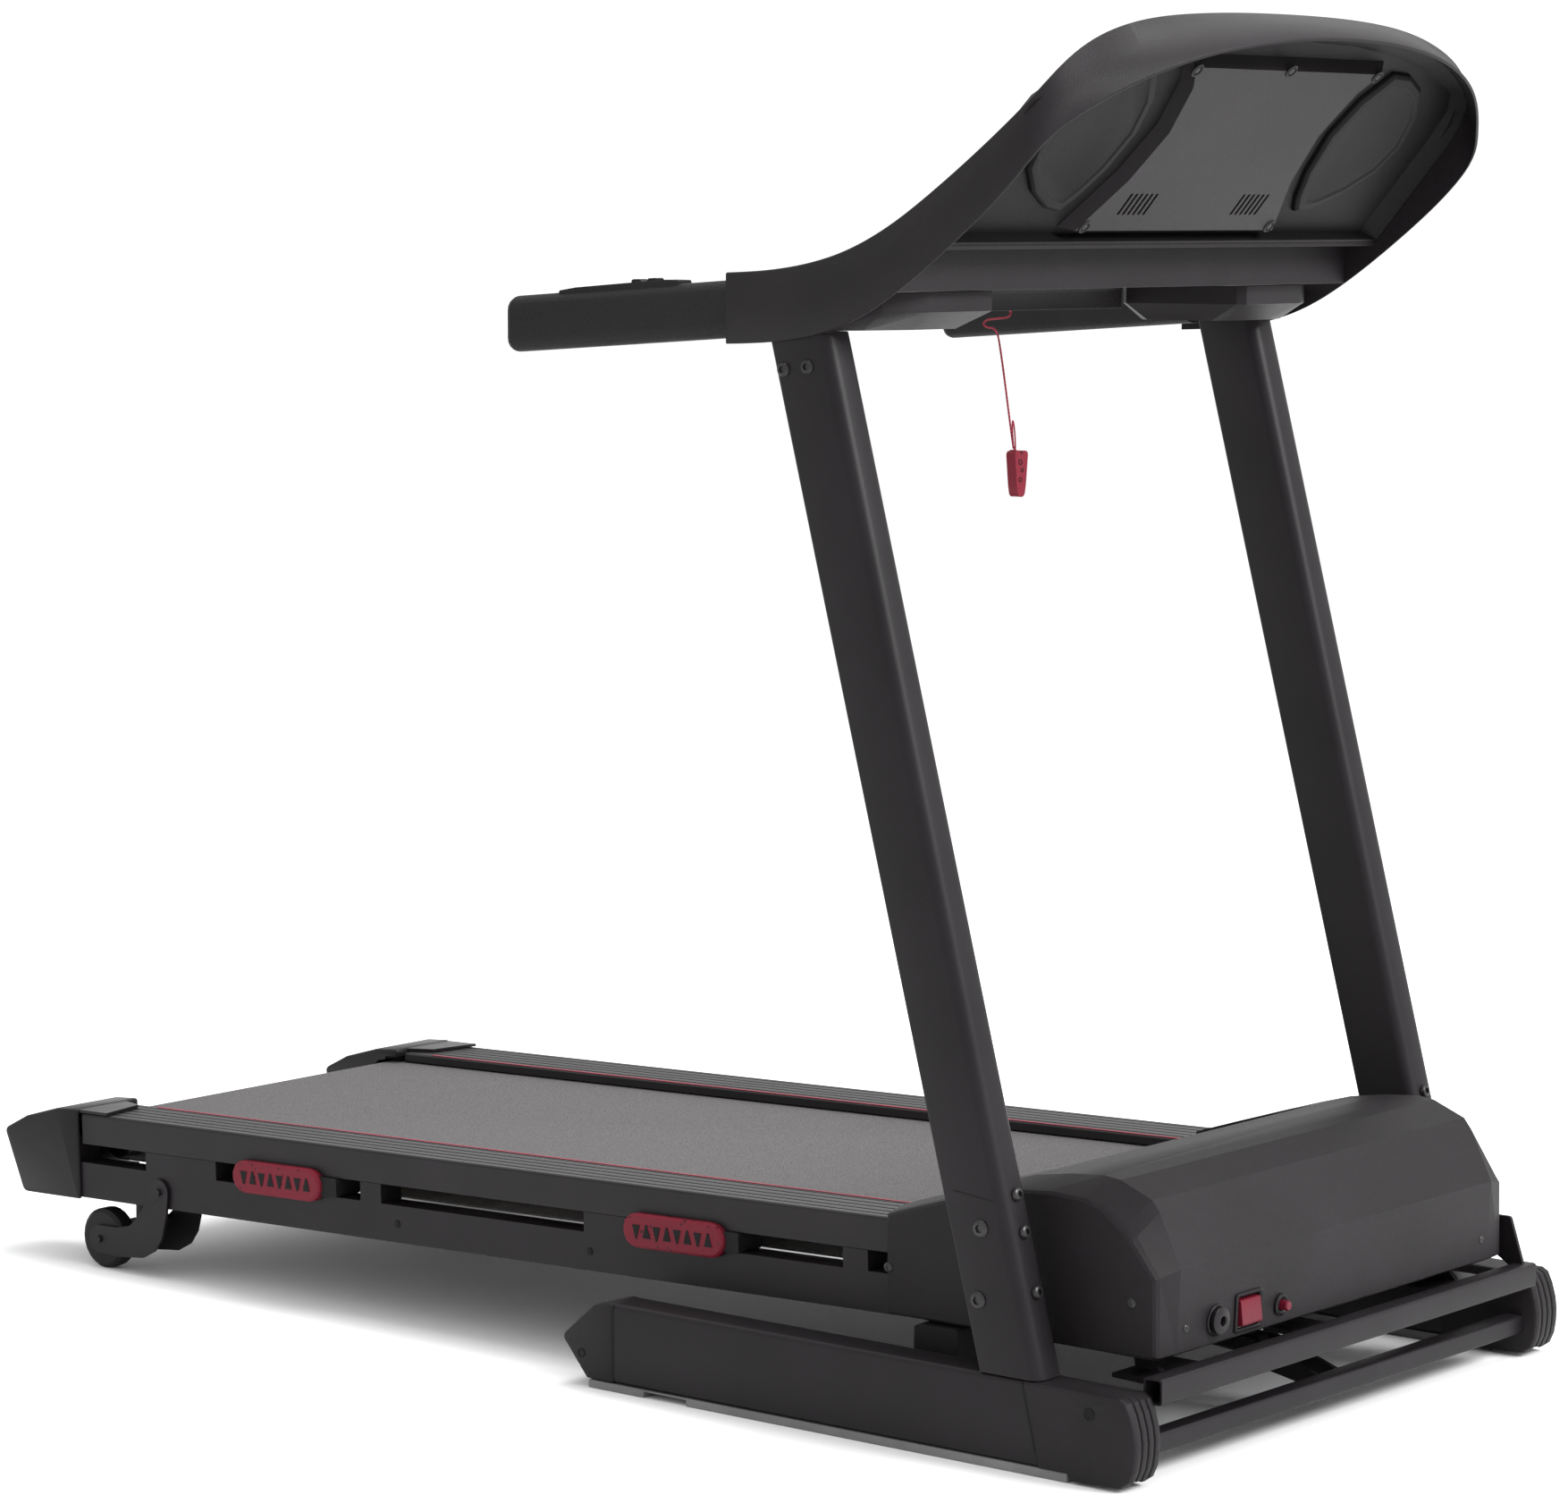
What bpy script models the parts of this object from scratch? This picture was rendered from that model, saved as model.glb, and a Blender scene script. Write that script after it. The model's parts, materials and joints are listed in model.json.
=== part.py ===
"""Folding home treadmill: a fixed base with two leaning uprights and a console, and a running deck
that folds up about a cross axis at its motor end.

Metres, +Z up. +Y runs from the motor end to the end the user steps on, and X is across the belt.
'right' is -X, the right hand of a user who faces the console.
Lengthwise positions are laid out from the rear end of the console's side bands (Y = 0), and the
empty 'layout' moves everything so that the treadmill's footprint is centred on the origin.
"""
import math

import bmesh
import bpy
from mathutils import Matrix, Vector

# ---------------------------------------------------------------- driving dimensions
LAYOUT_SHIFT = -0.2995      # from the layout's zero to the middle of the overall length
GAP = 0.0003                # air left between pieces that touch
HALF_WIDTH = 0.360          # outer faces of the base rails and uprights
RAIL_WIDTH = 0.042
RAIL_LOW, RAIL_HIGH = 0.009, 0.086
TUBE_WALL = 0.002

UPRIGHT_FOOT_Y = -0.3047    # rear edge of an upright where it stands on the base rail
UPRIGHT_LEAN = math.radians(14.82)
UPRIGHT_DEPTH = 0.068       # measured horizontally
UPRIGHT_WIDTH = 0.040
UPRIGHT_TOP = 1.0125

DECK_TILT = math.radians(1.552)
DECK_ZERO_Z = 0.1902        # top of the foot rails at Y = 0
DECK_HALF = 0.286           # outer faces of the deck's frame and foot rails
FRAME_TUBE_WIDTH = 0.030
FRAME_HIGH, FRAME_LOW = -0.053, -0.091   # below the foot rail's top
FOOT_RAIL_DROP = 0.033
BELT_TOP = -0.0115
BELT_THICK = 0.002
BELT_HALF = 0.214
ROLLER_R = 0.023
FRONT_ROLLER_Y, REAR_ROLLER_Y = -0.285, 0.975
ROLLER_Z = BELT_TOP - BELT_THICK - GAP - ROLLER_R
ROLLER_PULLEY_R, MOTOR_PULLEY_R = 0.034, 0.016
PULLEY_X = 0.231            # middle of the pulleys' width
DRIVE_BELT_WIDTH = 0.012
DRIVE_BELT_THICK = 0.0025
MOTOR_Y, MOTOR_Z = -0.385, -0.035

FOLD_Y, FOLD_Z = -0.440, 0.118
STRUT_BASE = Vector((-0.360, 0.055))     # Y, Z of the strut's lower pivot
STRUT_DECK = Vector((0.140, 0.100))      # Y, Z of its upper end

FOOT_PIVOT = Vector((0.833, 0.094))
FOOT_WHEEL = Vector((0.925, 0.0322))
FOOT_WHEEL_R = 0.032
FOOT_X = 0.2625             # middle of a rear foot's channel

TRANSPORT_WHEEL = Vector((-0.440, 0.0265))
TRANSPORT_WHEEL_R = 0.025

CONSOLE_ORIGIN = Vector((0.0, -0.352, 1.215))
CONSOLE_TILT = math.radians(48.8)        # slope of the console face from the horizontal
RIM_X = 0.3635
RIM_WALL = 0.003
RIM_BEZEL = 0.012
# Upper part of the rim, from a side band's end to the middle: points of the user's edge and of the
# rear edge, each across, up the slope from CONSOLE_ORIGIN, and out towards the user.
RIM_STATIONS = [((0.3575, 0.0045, 0.0005), (0.3610, -0.0250, -0.0360)),
                ((0.3480, 0.0160, 0.0035), (0.3550, -0.0165, -0.0335)),
                ((0.3360, 0.0310, 0.0085), (0.3440, -0.0050, -0.0320)),
                ((0.3200, 0.0430, 0.0140), (0.3320, 0.0080, -0.0320)),
                ((0.3000, 0.0510, 0.0200), (0.3170, 0.0230, -0.0320)),
                ((0.2700, 0.0600, 0.0270), (0.2900, 0.0440, -0.0320)),
                ((0.2300, 0.0675, 0.0330), (0.2550, 0.0640, -0.0320)),
                ((0.1750, 0.0740, 0.0360), (0.1950, 0.0865, -0.0320)),
                ((0.0950, 0.0795, 0.0360), (0.1050, 0.1035, -0.0320)),
                ((0.0, 0.0810, 0.0360), (0.0, 0.1095, -0.0320))]

PAN_BOTTOM = -0.165         # lower end of the pan, along the slope from CONSOLE_ORIGIN
PAN_OUT, PAN_THICK = 0.0100, 0.0030
FACE_OUT = 0.0360           # how far the face stands towards the user
CONSOLE_KEYS = {"start_key": (-0.105, -0.045), "stop_key": (0.105, -0.045)}   # across, up the slope

CORD_RADIUS = 0.001


# ---------------------------------------------------------------- materials
def material(name, colour, roughness, metallic=0.0):
    mat = bpy.data.materials.new(name)
    mat.use_nodes = True
    shader = mat.node_tree.nodes["Principled BSDF"]
    shader.inputs["Base Color"].default_value = (*colour, 1.0)
    shader.inputs["Roughness"].default_value = roughness
    shader.inputs["Metallic"].default_value = metallic
    return mat


BLACK_PAINT = ((0.030, 0.028, 0.030), 0.42)
BLACK_PLASTIC = ((0.033, 0.031, 0.033), 0.50)
BLACK_RUBBER = ((0.018, 0.018, 0.018), 0.80)
RED_RUBBER = ((0.200, 0.020, 0.035), 0.55)
RED_PLASTIC = ((0.300, 0.030, 0.050), 0.35)
BELT_BLACK = ((0.120, 0.118, 0.120), 0.75)
STEEL = ((0.550, 0.550, 0.560), 0.30, 1.0)
ALUMINIUM = ((0.600, 0.600, 0.610), 0.40, 1.0)
GREY_RUBBER = ((0.300, 0.300, 0.305), 0.70)
BOARD = ((0.090, 0.070, 0.050), 0.60)


# ---------------------------------------------------------------- outlines
def arc(centre, radius, start_deg, end_deg, steps):
    """Points on an arc, both ends included."""
    points = []
    for i in range(steps + 1):
        angle = math.radians(start_deg + (end_deg - start_deg) * i / steps)
        points.append((centre[0] + radius * math.cos(angle), centre[1] + radius * math.sin(angle)))
    return points


def fillet(corners, steps=3):
    """A closed outline whose corners (a, b, radius) are rounded."""
    points = []
    count = len(corners)
    for i, (a, b, radius) in enumerate(corners):
        here = Vector((a, b))
        if radius <= 0.0:
            points.append((a, b))
            continue
        before = (Vector(corners[i - 1][:2]) - here).normalized()
        after = (Vector(corners[(i + 1) % count][:2]) - here).normalized()
        half = before.angle(after) / 2.0
        reach = radius / math.tan(half)
        centre = here + (before + after).normalized() * (radius / math.sin(half))
        first = here + before * reach - centre
        turn = first.angle_signed(here + after * reach - centre)
        for k in range(steps + 1):
            spoke = Matrix.Rotation(-turn * k / steps, 2) @ first
            points.append(tuple(centre + spoke))
    return points


def rounded_box(low_a, high_a, low_b, high_b, radius, steps=3):
    return fillet([(low_a, low_b, radius), (high_a, low_b, radius),
                   (high_a, high_b, radius), (low_a, high_b, radius)], steps)


def inset(outline, distance):
    """The outline moved inwards by distance, whichever way round it runs."""
    area = sum(a[0] * b[1] - b[0] * a[1] for a, b in zip(outline, outline[1:] + outline[:1]))
    side = 1.0 if area > 0 else -1.0
    moved = []
    count = len(outline)
    for i in range(count):
        here = Vector(outline[i])
        before = (here - Vector(outline[i - 1])).normalized()
        after = (Vector(outline[(i + 1) % count]) - here).normalized()
        normal_a = Vector((-before.y, before.x)) * side
        normal_b = Vector((-after.y, after.x)) * side
        mean = (normal_a + normal_b).normalized()
        moved.append(tuple(here + mean * (distance / max(mean.dot(normal_a), 0.3))))
    return moved


def stadium(centre, length, height, steps=8):
    half = (length - height) / 2.0
    radius = height / 2.0
    return (arc((centre[0] + half, centre[1]), radius, -90, 90, steps)
            + arc((centre[0] - half, centre[1]), radius, 90, 270, steps))


def belt_outline(centre_a, radius_a, centre_b, radius_b, steps=10):
    """The outer line of a belt round two pulleys; centre_b lies at greater Y than centre_a."""
    a, b = Vector(centre_a), Vector(centre_b)
    run = b - a
    lean = math.degrees(math.atan2(run.y, run.x))
    spread = math.degrees(math.acos((radius_a - radius_b) / run.length))
    return (arc(a, radius_a, lean + spread, lean + 360 - spread, steps)
            + arc(b, radius_b, lean - spread, lean + spread, steps))


# ---------------------------------------------------------------- solids
AXES = {"X": lambda a, b, t: (t, a, b), "Y": lambda a, b, t: (a, t, b), "Z": lambda a, b, t: (a, b, t)}


def skin(loops, closed=False):
    """A bmesh through a row of loops with equal counts; ends are capped unless the row is closed."""
    bm = bmesh.new()
    rings = [[bm.verts.new(p) for p in loop] for loop in loops]
    pairs = list(zip(rings, rings[1:]))
    if closed:
        pairs.append((rings[-1], rings[0]))
    for low, high in pairs:
        for i in range(len(low)):
            j = (i + 1) % len(low)
            bm.faces.new((low[i], low[j], high[j], high[i]))
    if not closed:
        bm.faces.new(list(reversed(rings[0])))
        bm.faces.new(rings[-1])
    bmesh.ops.recalc_face_normals(bm, faces=bm.faces)
    return bm


def facets(bm):
    bmesh.ops.triangulate(bm, faces=bm.faces)
    return bm


def prism(outline, axis, low, high):
    place = AXES[axis]
    return skin([[place(a, b, low) for a, b in outline], [place(a, b, high) for a, b in outline]])


def pipe(outer, inner, place_low, place_high):
    """A tube whose outer and inner outlines have equal counts; each place maps a point to 3-D."""
    return skin([[place_low(*p) for p in outer], [place_high(*p) for p in outer],
                 [place_high(*p) for p in inner], [place_low(*p) for p in inner]], closed=True)


def turned(profile, axis, centre, segments=24):
    """A solid of revolution: profile is (radius, distance along the axis), from axis to axis."""
    place = AXES[axis]
    loops = []
    for radius, along in profile:
        loops.append([place(centre[0] + radius * math.cos(2 * math.pi * k / segments),
                            centre[1] + radius * math.sin(2 * math.pi * k / segments), along)
                      for k in range(segments)])
    return skin(loops)


def ring(profile, axis, centre, segments=24):
    """A turned ring: profile is a closed outline of (radius, distance along the axis)."""
    place = AXES[axis]
    loops = []
    for k in range(segments):
        angle = 2 * math.pi * k / segments
        loops.append([place(centre[0] + radius * math.cos(angle), centre[1] + radius * math.sin(angle),
                            along) for radius, along in profile])
    return skin(loops, closed=True)


def mirror_x(bm):
    bmesh.ops.scale(bm, vec=(-1, 1, 1), verts=bm.verts)
    bmesh.ops.reverse_faces(bm, faces=bm.faces)
    return bm


# ---------------------------------------------------------------- objects
def anchor(name, parent=None, location=(0, 0, 0), rotation_x=0.0):
    empty = bpy.data.objects.new(name, None)
    bpy.context.collection.objects.link(empty)
    empty.location = location
    empty.rotation_euler.x = rotation_x
    empty.parent = parent
    return empty


def piece(name, bm, look, parent, pivot=None, bevel=0.0, smooth=35.0):
    """One named object; with a pivot, its origin is moved there."""
    mesh = bpy.data.meshes.new(name)
    if pivot is not None:
        bmesh.ops.translate(bm, vec=-Vector(pivot), verts=bm.verts)
    bm.to_mesh(mesh)
    bm.free()
    obj = bpy.data.objects.new(name, mesh)
    bpy.context.collection.objects.link(obj)
    obj.parent = parent
    if pivot is not None:
        obj.location = pivot
    mesh.materials.append(material(name, *look))
    if bevel > 0.0:
        mod = obj.modifiers.new("soft_edges", "BEVEL")
        mod.width = bevel
        mod.segments = 2
        mod.limit_method = "ANGLE"
        mod.angle_limit = math.radians(50)
    mesh.shade_smooth()
    mesh.set_sharp_from_angle(angle=math.radians(smooth))
    return obj


def apply_tool(target, bm, operation):
    """Cuts the tool away from the target or fuses it on."""
    mesh = bpy.data.meshes.new(target.name + "_tool")
    bm.to_mesh(mesh)
    bm.free()
    tool = bpy.data.objects.new(mesh.name, mesh)
    bpy.context.collection.objects.link(tool)
    tool.parent = target.parent
    tool.hide_render = True
    tool.display_type = "WIRE"
    mod = target.modifiers.new(operation.lower(), "BOOLEAN")
    mod.operation = operation
    mod.solver = "EXACT"
    mod.object = tool


def cut(target, bm):
    apply_tool(target, bm, "DIFFERENCE")


def fuse(target, bm):
    apply_tool(target, bm, "UNION")


SIDES = (("right", True), ("left", False))


def sided(bm, mirrored):
    return mirror_x(bm) if mirrored else bm


# ---------------------------------------------------------------- base
def rail_seam_y(z):
    """The slanted joint between a base rail and its front cap."""
    return -0.3534 - 0.0155 * (RAIL_HIGH - z) / (RAIL_HIGH - 0.022)


def base_rails(layout):
    low_x, high_x = HALF_WIDTH - RAIL_WIDTH, HALF_WIDTH
    outer = rounded_box(low_x, high_x, RAIL_LOW, RAIL_HIGH, 0.005)
    inner = rounded_box(low_x + TUBE_WALL, high_x - TUBE_WALL, RAIL_LOW + TUBE_WALL,
                        RAIL_HIGH - TUBE_WALL, 0.003)
    for side, mirrored in SIDES:
        bm = pipe(outer, inner, lambda x, z: (x, rail_seam_y(z), z), lambda x, z: (x, 0.132, z))
        piece("base_rail_" + side, sided(bm, mirrored), BLACK_PAINT, layout)


def base_front_caps(layout):
    """Moulded caps with three upright grooves round the nose and a pocket for a transport wheel."""
    low_x, high_x = HALF_WIDTH - RAIL_WIDTH, HALF_WIDTH
    seam_top = rail_seam_y(RAIL_HIGH) - GAP
    seam_low = rail_seam_y(RAIL_LOW) - GAP
    nose = [(-0.4600, 0.0842), (-0.4665, 0.0805), (-0.4715, 0.070), (-0.4755, 0.056), (-0.4770, 0.044),
            (-0.4765, 0.032), (-0.4745, 0.020), (-0.4700, 0.0100), (-0.4620, 0.0045)]
    heel = [(-0.4075, 0.0030), (-0.4050, 0.0090)]

    def loop(x, draw_in, groove):
        points = [(rail_seam_y(RAIL_HIGH - draw_in) - GAP, RAIL_HIGH - draw_in)]
        points += [(y + draw_in + groove, min(z, RAIL_HIGH - draw_in)) for y, z in nose]
        points += heel + [(seam_low, 0.009)]
        return [(x, y, z) for y, z in points]

    groove_depth = 0.0022
    stations = [(low_x, 0.004, 0.0), (low_x + 0.0012, 0.0012, 0.0), (low_x + 0.004, 0.0, 0.0)]
    for k in range(3):
        start = low_x + 0.0095 + k * 0.0095
        stations += [(start, 0.0, 0.0), (start + 0.0008, 0.0, groove_depth),
                     (start + 0.0024, 0.0, groove_depth), (start + 0.0032, 0.0, 0.0)]
    stations += [(high_x - 0.004, 0.0, 0.0), (high_x - 0.0012, 0.0012, 0.0), (high_x, 0.004, 0.0)]
    plug = fillet([(seam_top - 0.004, RAIL_HIGH - TUBE_WALL - GAP, 0.0),
                   (seam_top + 0.022, RAIL_HIGH - TUBE_WALL - GAP, 0.003),
                   (seam_top + 0.022, RAIL_LOW + TUBE_WALL + GAP, 0.003),
                   (seam_low - 0.004, RAIL_LOW + TUBE_WALL + GAP, 0.0)])
    wheel_y, wheel_z = TRANSPORT_WHEEL
    for side, mirrored in SIDES:
        cap = piece("base_front_cap_" + side, sided(skin([loop(*s) for s in stations]), mirrored),
                    BLACK_PLASTIC, layout)
        fuse(cap, sided(prism(plug, "X", low_x + 0.006, high_x - 0.006), mirrored))
        pocket = [(wheel_y - 0.0285, -0.01), (wheel_y - 0.0285, wheel_z), (wheel_y - 0.020, wheel_z + 0.022),
                  (wheel_y, wheel_z + 0.0285), (wheel_y + 0.020, wheel_z + 0.022),
                  (wheel_y + 0.0285, wheel_z), (wheel_y + 0.0285, -0.01)]
        cut(cap, sided(prism(pocket, "X", low_x + 0.010, high_x - 0.010), mirrored))
        bore = arc((wheel_y, wheel_z), 0.0043, 0, 330, 11)
        cut(cap, sided(prism(bore, "X", low_x + 0.005, high_x - 0.005), mirrored))
        screw = arc((-0.4273, 0.0662), 0.0042, 0, 330, 11)
        cut(cap, sided(prism(screw, "X", high_x - 0.003, high_x + 0.01), mirrored))


def transport_wheels(layout):
    """Each wheel is moulded on its own axle stubs, which turn in the front cap."""
    low_x = HALF_WIDTH - RAIL_WIDTH + 0.0055
    high_x = HALF_WIDTH - 0.0055
    rim_low, rim_high = low_x + 0.0052, high_x - 0.0052
    r = TRANSPORT_WHEEL_R
    profile = [(0.0040, low_x), (0.0040, rim_low), (r - 0.002, rim_low), (r, rim_low + 0.002),
               (r, rim_high - 0.002), (r - 0.002, rim_high), (0.0040, rim_high), (0.0040, high_x)]
    for side, mirrored in SIDES:
        bm = sided(turned(profile, "X", TRANSPORT_WHEEL, 20), mirrored)
        piece("transport_wheel_" + side, bm, BLACK_RUBBER, layout, pivot=(0, *TRANSPORT_WHEEL))


def base_rear_caps(layout):
    low_x, high_x = HALF_WIDTH - RAIL_WIDTH, HALF_WIDTH
    seam = 0.132 + GAP
    outline = fillet([(seam, RAIL_LOW, 0.0), (0.1670, 0.0085, 0.004), (0.1995, 0.0465, 0.006),
                      (0.1585, 0.0815, 0.012), (0.1400, RAIL_HIGH, 0.0), (seam, RAIL_HIGH, 0.0)])
    plug = rounded_box(low_x + TUBE_WALL + GAP, high_x - TUBE_WALL - GAP, RAIL_LOW + TUBE_WALL + GAP,
                       RAIL_HIGH - TUBE_WALL - GAP, 0.0027)
    for side, mirrored in SIDES:
        cap = piece("base_rear_cap_" + side, sided(prism(outline, "X", low_x, high_x), mirrored),
                    BLACK_PLASTIC, layout, bevel=0.003)
        fuse(cap, sided(prism(plug, "Y", seam - 0.022, seam + 0.006), mirrored))


def foot_strips(layout):
    """One rubber strip under each rail: two soles joined by a thin web."""
    low_x, high_x = HALF_WIDTH - RAIL_WIDTH + 0.003, HALF_WIDTH - 0.001
    top, web = RAIL_LOW - GAP, 0.0060
    outline = [(-0.4030, 0.0), (0.0420, 0.0), (0.0425, web), (0.0950, web), (0.0955, 0.0), (0.1650, 0.0),
               (0.1650, top - 0.0008), (-0.4030, top)]
    for side, mirrored in SIDES:
        piece("foot_strip_" + side, sided(prism(outline, "X", low_x, high_x), mirrored),
              GREY_RUBBER, layout)


def base_cross_members(layout):
    """The front beam carries the deck's hinge arms; a lower tube carries the strut's lug."""
    reach = HALF_WIDTH - RAIL_WIDTH - GAP
    outer = rounded_box(-0.476, -0.456, 0.0728, 0.0966, 0.003)
    beam = piece("base_hinge_beam", prism(outer, "X", -reach, reach), BLACK_PAINT, layout)
    bore = rounded_box(-0.474, -0.458, 0.0748, 0.0946, 0.002)
    cut(beam, prism(bore, "X", -reach - 0.01, reach + 0.01))
    arm = fillet([(-0.4300, 0.0825, 0.0), (-0.4260, 0.0870, 0.002),
                  (-0.4160, 0.0960, 0.006), (-0.4310, 0.1070, 0.004), (FOLD_Y - 0.0070, 0.1140, 0.004),
                  (FOLD_Y - 0.0080, 0.1270, 0.006), (FOLD_Y + 0.0080, 0.1280, 0.006),
                  (-0.3985, 0.1000, 0.008), (-0.4010, 0.0825, 0.0)])
    pin = arc((FOLD_Y, FOLD_Z), 0.0048, 0, 330, 11)
    plate = [(-0.4700, 0.0790), (-0.4700, 0.0850), (-0.3960, 0.0850), (-0.3960, 0.0810), (-0.4560, 0.0790)]
    fuse(beam, prism(plate, "X", -0.0400, 0.0140))
    latch = fillet([(-0.4700, 0.0900, 0.0), (-0.4530, 0.1420, 0.004), (-0.4290, 0.1420, 0.004),
                    (-0.4290, 0.1080, 0.004), (-0.4580, 0.0900, 0.0)])
    fuse(beam, prism(latch, "X", 0.3050, 0.3090))
    for mirrored in (True, False):
        fuse(beam, sided(prism(plate, "X", 0.1950, 0.2820), mirrored))
        fuse(beam, sided(prism(arm, "X", 0.2455, 0.2525), mirrored))
        fuse(beam, sided(prism(pin, "X", 0.2500, 0.2830), mirrored))

    low = piece("base_lower_tube", prism(rounded_box(-0.462, -0.442, 0.0240, 0.0430, 0.003), "X",
                                         -reach, reach), BLACK_PAINT, layout)
    cut(low, prism(rounded_box(-0.460, -0.444, 0.0260, 0.0410, 0.002), "X", -reach - 0.01, reach + 0.01))
    by, bz = STRUT_BASE
    lug = fillet([(-0.4440, 0.0270, 0.0), (-0.4440, 0.0405, 0.0), (by - 0.011, bz + 0.010, 0.008),
                  (by + 0.011, bz + 0.010, 0.008), (by + 0.011, bz - 0.010, 0.008)])
    lug_pin = arc((by, bz), 0.0048, 0, 330, 11)
    for low_x in (-0.0190, 0.0130):
        fuse(low, prism(lug, "X", low_x, low_x + 0.006))
    fuse(low, prism(lug_pin, "X", -0.0150, 0.0150))


def deck_rests(layout):
    """Rubber blocks on the base rails' inner sides that the deck's frame comes down on."""
    top = DECK_ZERO_Z + FRAME_LOW + 0.0271 * 0.184 - 0.0012
    outline = fillet([(-0.2340, 0.0420, 0.003), (-0.1830, 0.0420, 0.003), (-0.1830, top - 0.0014, 0.004),
                      (-0.2340, top, 0.004)])
    for side, mirrored in SIDES:
        block = piece("deck_rest_" + side, sided(prism(outline, "X", 0.2620, 0.2980), mirrored),
                      BLACK_RUBBER, layout)
        bracket = rounded_box(-0.2240, -0.1930, 0.0450, 0.0700, 0.002)
        fuse(block, sided(prism(bracket, "X", 0.2900, HALF_WIDTH - RAIL_WIDTH - GAP), mirrored))


def uprights(layout):
    high_x = HALF_WIDTH
    low_x = HALF_WIDTH - UPRIGHT_WIDTH
    depth = UPRIGHT_DEPTH

    def section(shrink):
        low, high = -depth + shrink * 1.03, -shrink * 1.03
        front, rear = 0.012 - shrink, 0.004 - shrink
        return fillet([(low_x + shrink, low, front), (high_x - shrink, low, front),
                       (high_x - shrink, high, rear), (low_x + shrink, high, rear)], 4)

    def at_height(z):
        rise = z - RAIL_HIGH
        return lambda x, y: (x, UPRIGHT_FOOT_Y + y + rise * math.tan(UPRIGHT_LEAN), z)

    for side, mirrored in SIDES:
        bm = pipe(section(0.0), section(TUBE_WALL), at_height(RAIL_HIGH + GAP), at_height(UPRIGHT_TOP))
        piece("upright_" + side, sided(bm, mirrored), BLACK_PAINT, layout)


# ---------------------------------------------------------------- console
def console_point(x, up, out):
    """A point by its place across, up the slope and out of the face towards the user."""
    slope = Vector((0.0, -math.cos(CONSOLE_TILT), math.sin(CONSOLE_TILT)))
    normal = Vector((0.0, math.sin(CONSOLE_TILT), math.cos(CONSOLE_TILT)))
    return CONSOLE_ORIGIN + Vector((x, 0, 0)) + slope * up + normal * out


SIDE_UPPER = [(-0.0130, 1.0650), (-0.0600, 1.0670), (-0.1050, 1.0730), (-0.1500, 1.0840),
              (-0.2000, 1.1065), (-0.2500, 1.1380), (-0.3040, 1.1760), (-0.3520, 1.2150)]
SIDE_LOWER = [(-0.0130, 1.0000), (-0.0650, 1.0020), (-0.1180, 1.0090), (-0.1680, 1.0250),
              (-0.2200, 1.0550), (-0.2750, 1.0940), (-0.3250, 1.1340), (-0.3615, 1.1670)]


def curve_through(points, steps):
    """A smooth line through 2-D points (Catmull-Rom)."""
    ends = [Vector(points[0]) * 2 - Vector(points[1])]
    ends += [Vector(p) for p in points]
    ends += [Vector(points[-1]) * 2 - Vector(points[-2])]
    line = []
    for a, b, c, d in zip(ends, ends[1:], ends[2:], ends[3:]):
        for k in range(steps):
            t = k / steps
            line.append(0.5 * ((2 * b) + (c - a) * t + (2 * a - 5 * b + 4 * c - d) * t * t
                               + (3 * b - a - 3 * c + d) * t ** 3))
    line.append(ends[-2])
    return line


def console_shell(layout):
    """The console's lower moulding: a band up one side, over the top and down the other, with a
    narrow bezel turned in on the user's side and a shallow pan across the middle."""
    upper = curve_through(SIDE_UPPER, 2)
    lower = curve_through(SIDE_LOWER, 2)
    half_loops = []
    for (uy, uz), (ly, lz) in zip(upper, lower):
        top, bottom = Vector((RIM_X, uy, uz)), Vector((RIM_X, ly, lz))
        down = (bottom - top).normalized()
        wall, drop = Vector((-RIM_WALL, 0, 0)), down * RIM_WALL
        turn_in = Vector((-RIM_BEZEL, 0, 0))
        half_loops.append([top, bottom, bottom + wall, top + wall + drop, top + turn_in + drop,
                           top + turn_in])
    front, rear = [[station[edge] for station in RIM_STATIONS] for edge in (0, 1)]
    front_wall, front_bezel = drawn_in(front, RIM_WALL), drawn_in(front, RIM_BEZEL)
    rear_wall = drawn_in(rear, RIM_WALL)
    for near, far, near_in, near_bezel, far_in in zip(front, rear, front_wall, front_bezel, rear_wall):
        high, low = near[2], near[2] - RIM_WALL
        half_loops.append([console_point(*near), console_point(*far), console_point(*far_in, far[2]),
                           console_point(*near_in, low), console_point(*near_bezel, low),
                           console_point(*near_bezel, high)])
    mirrored = [[Vector((-p.x, p.y, p.z)) for p in loop] for loop in reversed(half_loops[:-1])]
    shell = piece("console_shell", facets(skin(half_loops + mirrored)), BLACK_PLASTIC, layout)
    fuse(shell, console_slab(rim_outline(-RIM_WALL / 2, 0.0015, PAN_BOTTOM),
                             rim_outline(PAN_OUT + PAN_THICK, 0.0200, PAN_BOTTOM - 0.0180),
                             -RIM_WALL / 2, PAN_OUT + PAN_THICK))
    cut(shell, console_slab(rim_outline(-0.0100, 0.0040, PAN_BOTTOM), rim_outline(PAN_OUT, 0.0210, PAN_BOTTOM - 0.0170),
                            -0.0100, PAN_OUT))
    ledge = [(-0.2450, 1.0863), (-0.2450, 1.0923), (-0.2070, 1.0923), (-0.2070, 1.0490), (-0.2100, 1.0490),
             (-0.2100, 1.0863)]
    fuse(shell, prism(ledge, "X", -RIM_X + 0.0012, RIM_X - 0.0012))
    dash = [(-0.2120, 1.0880), (-0.2120, 1.0915), (-0.0580, 1.0515), (-0.0500, 1.0440), (-0.0500, 1.0250),
            (-0.0530, 1.0250), (-0.0530, 1.0430), (-0.0595, 1.0487), (-0.2080, 1.0873)]
    fuse(shell, prism(dash, "X", -0.1988, 0.1988))


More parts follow.
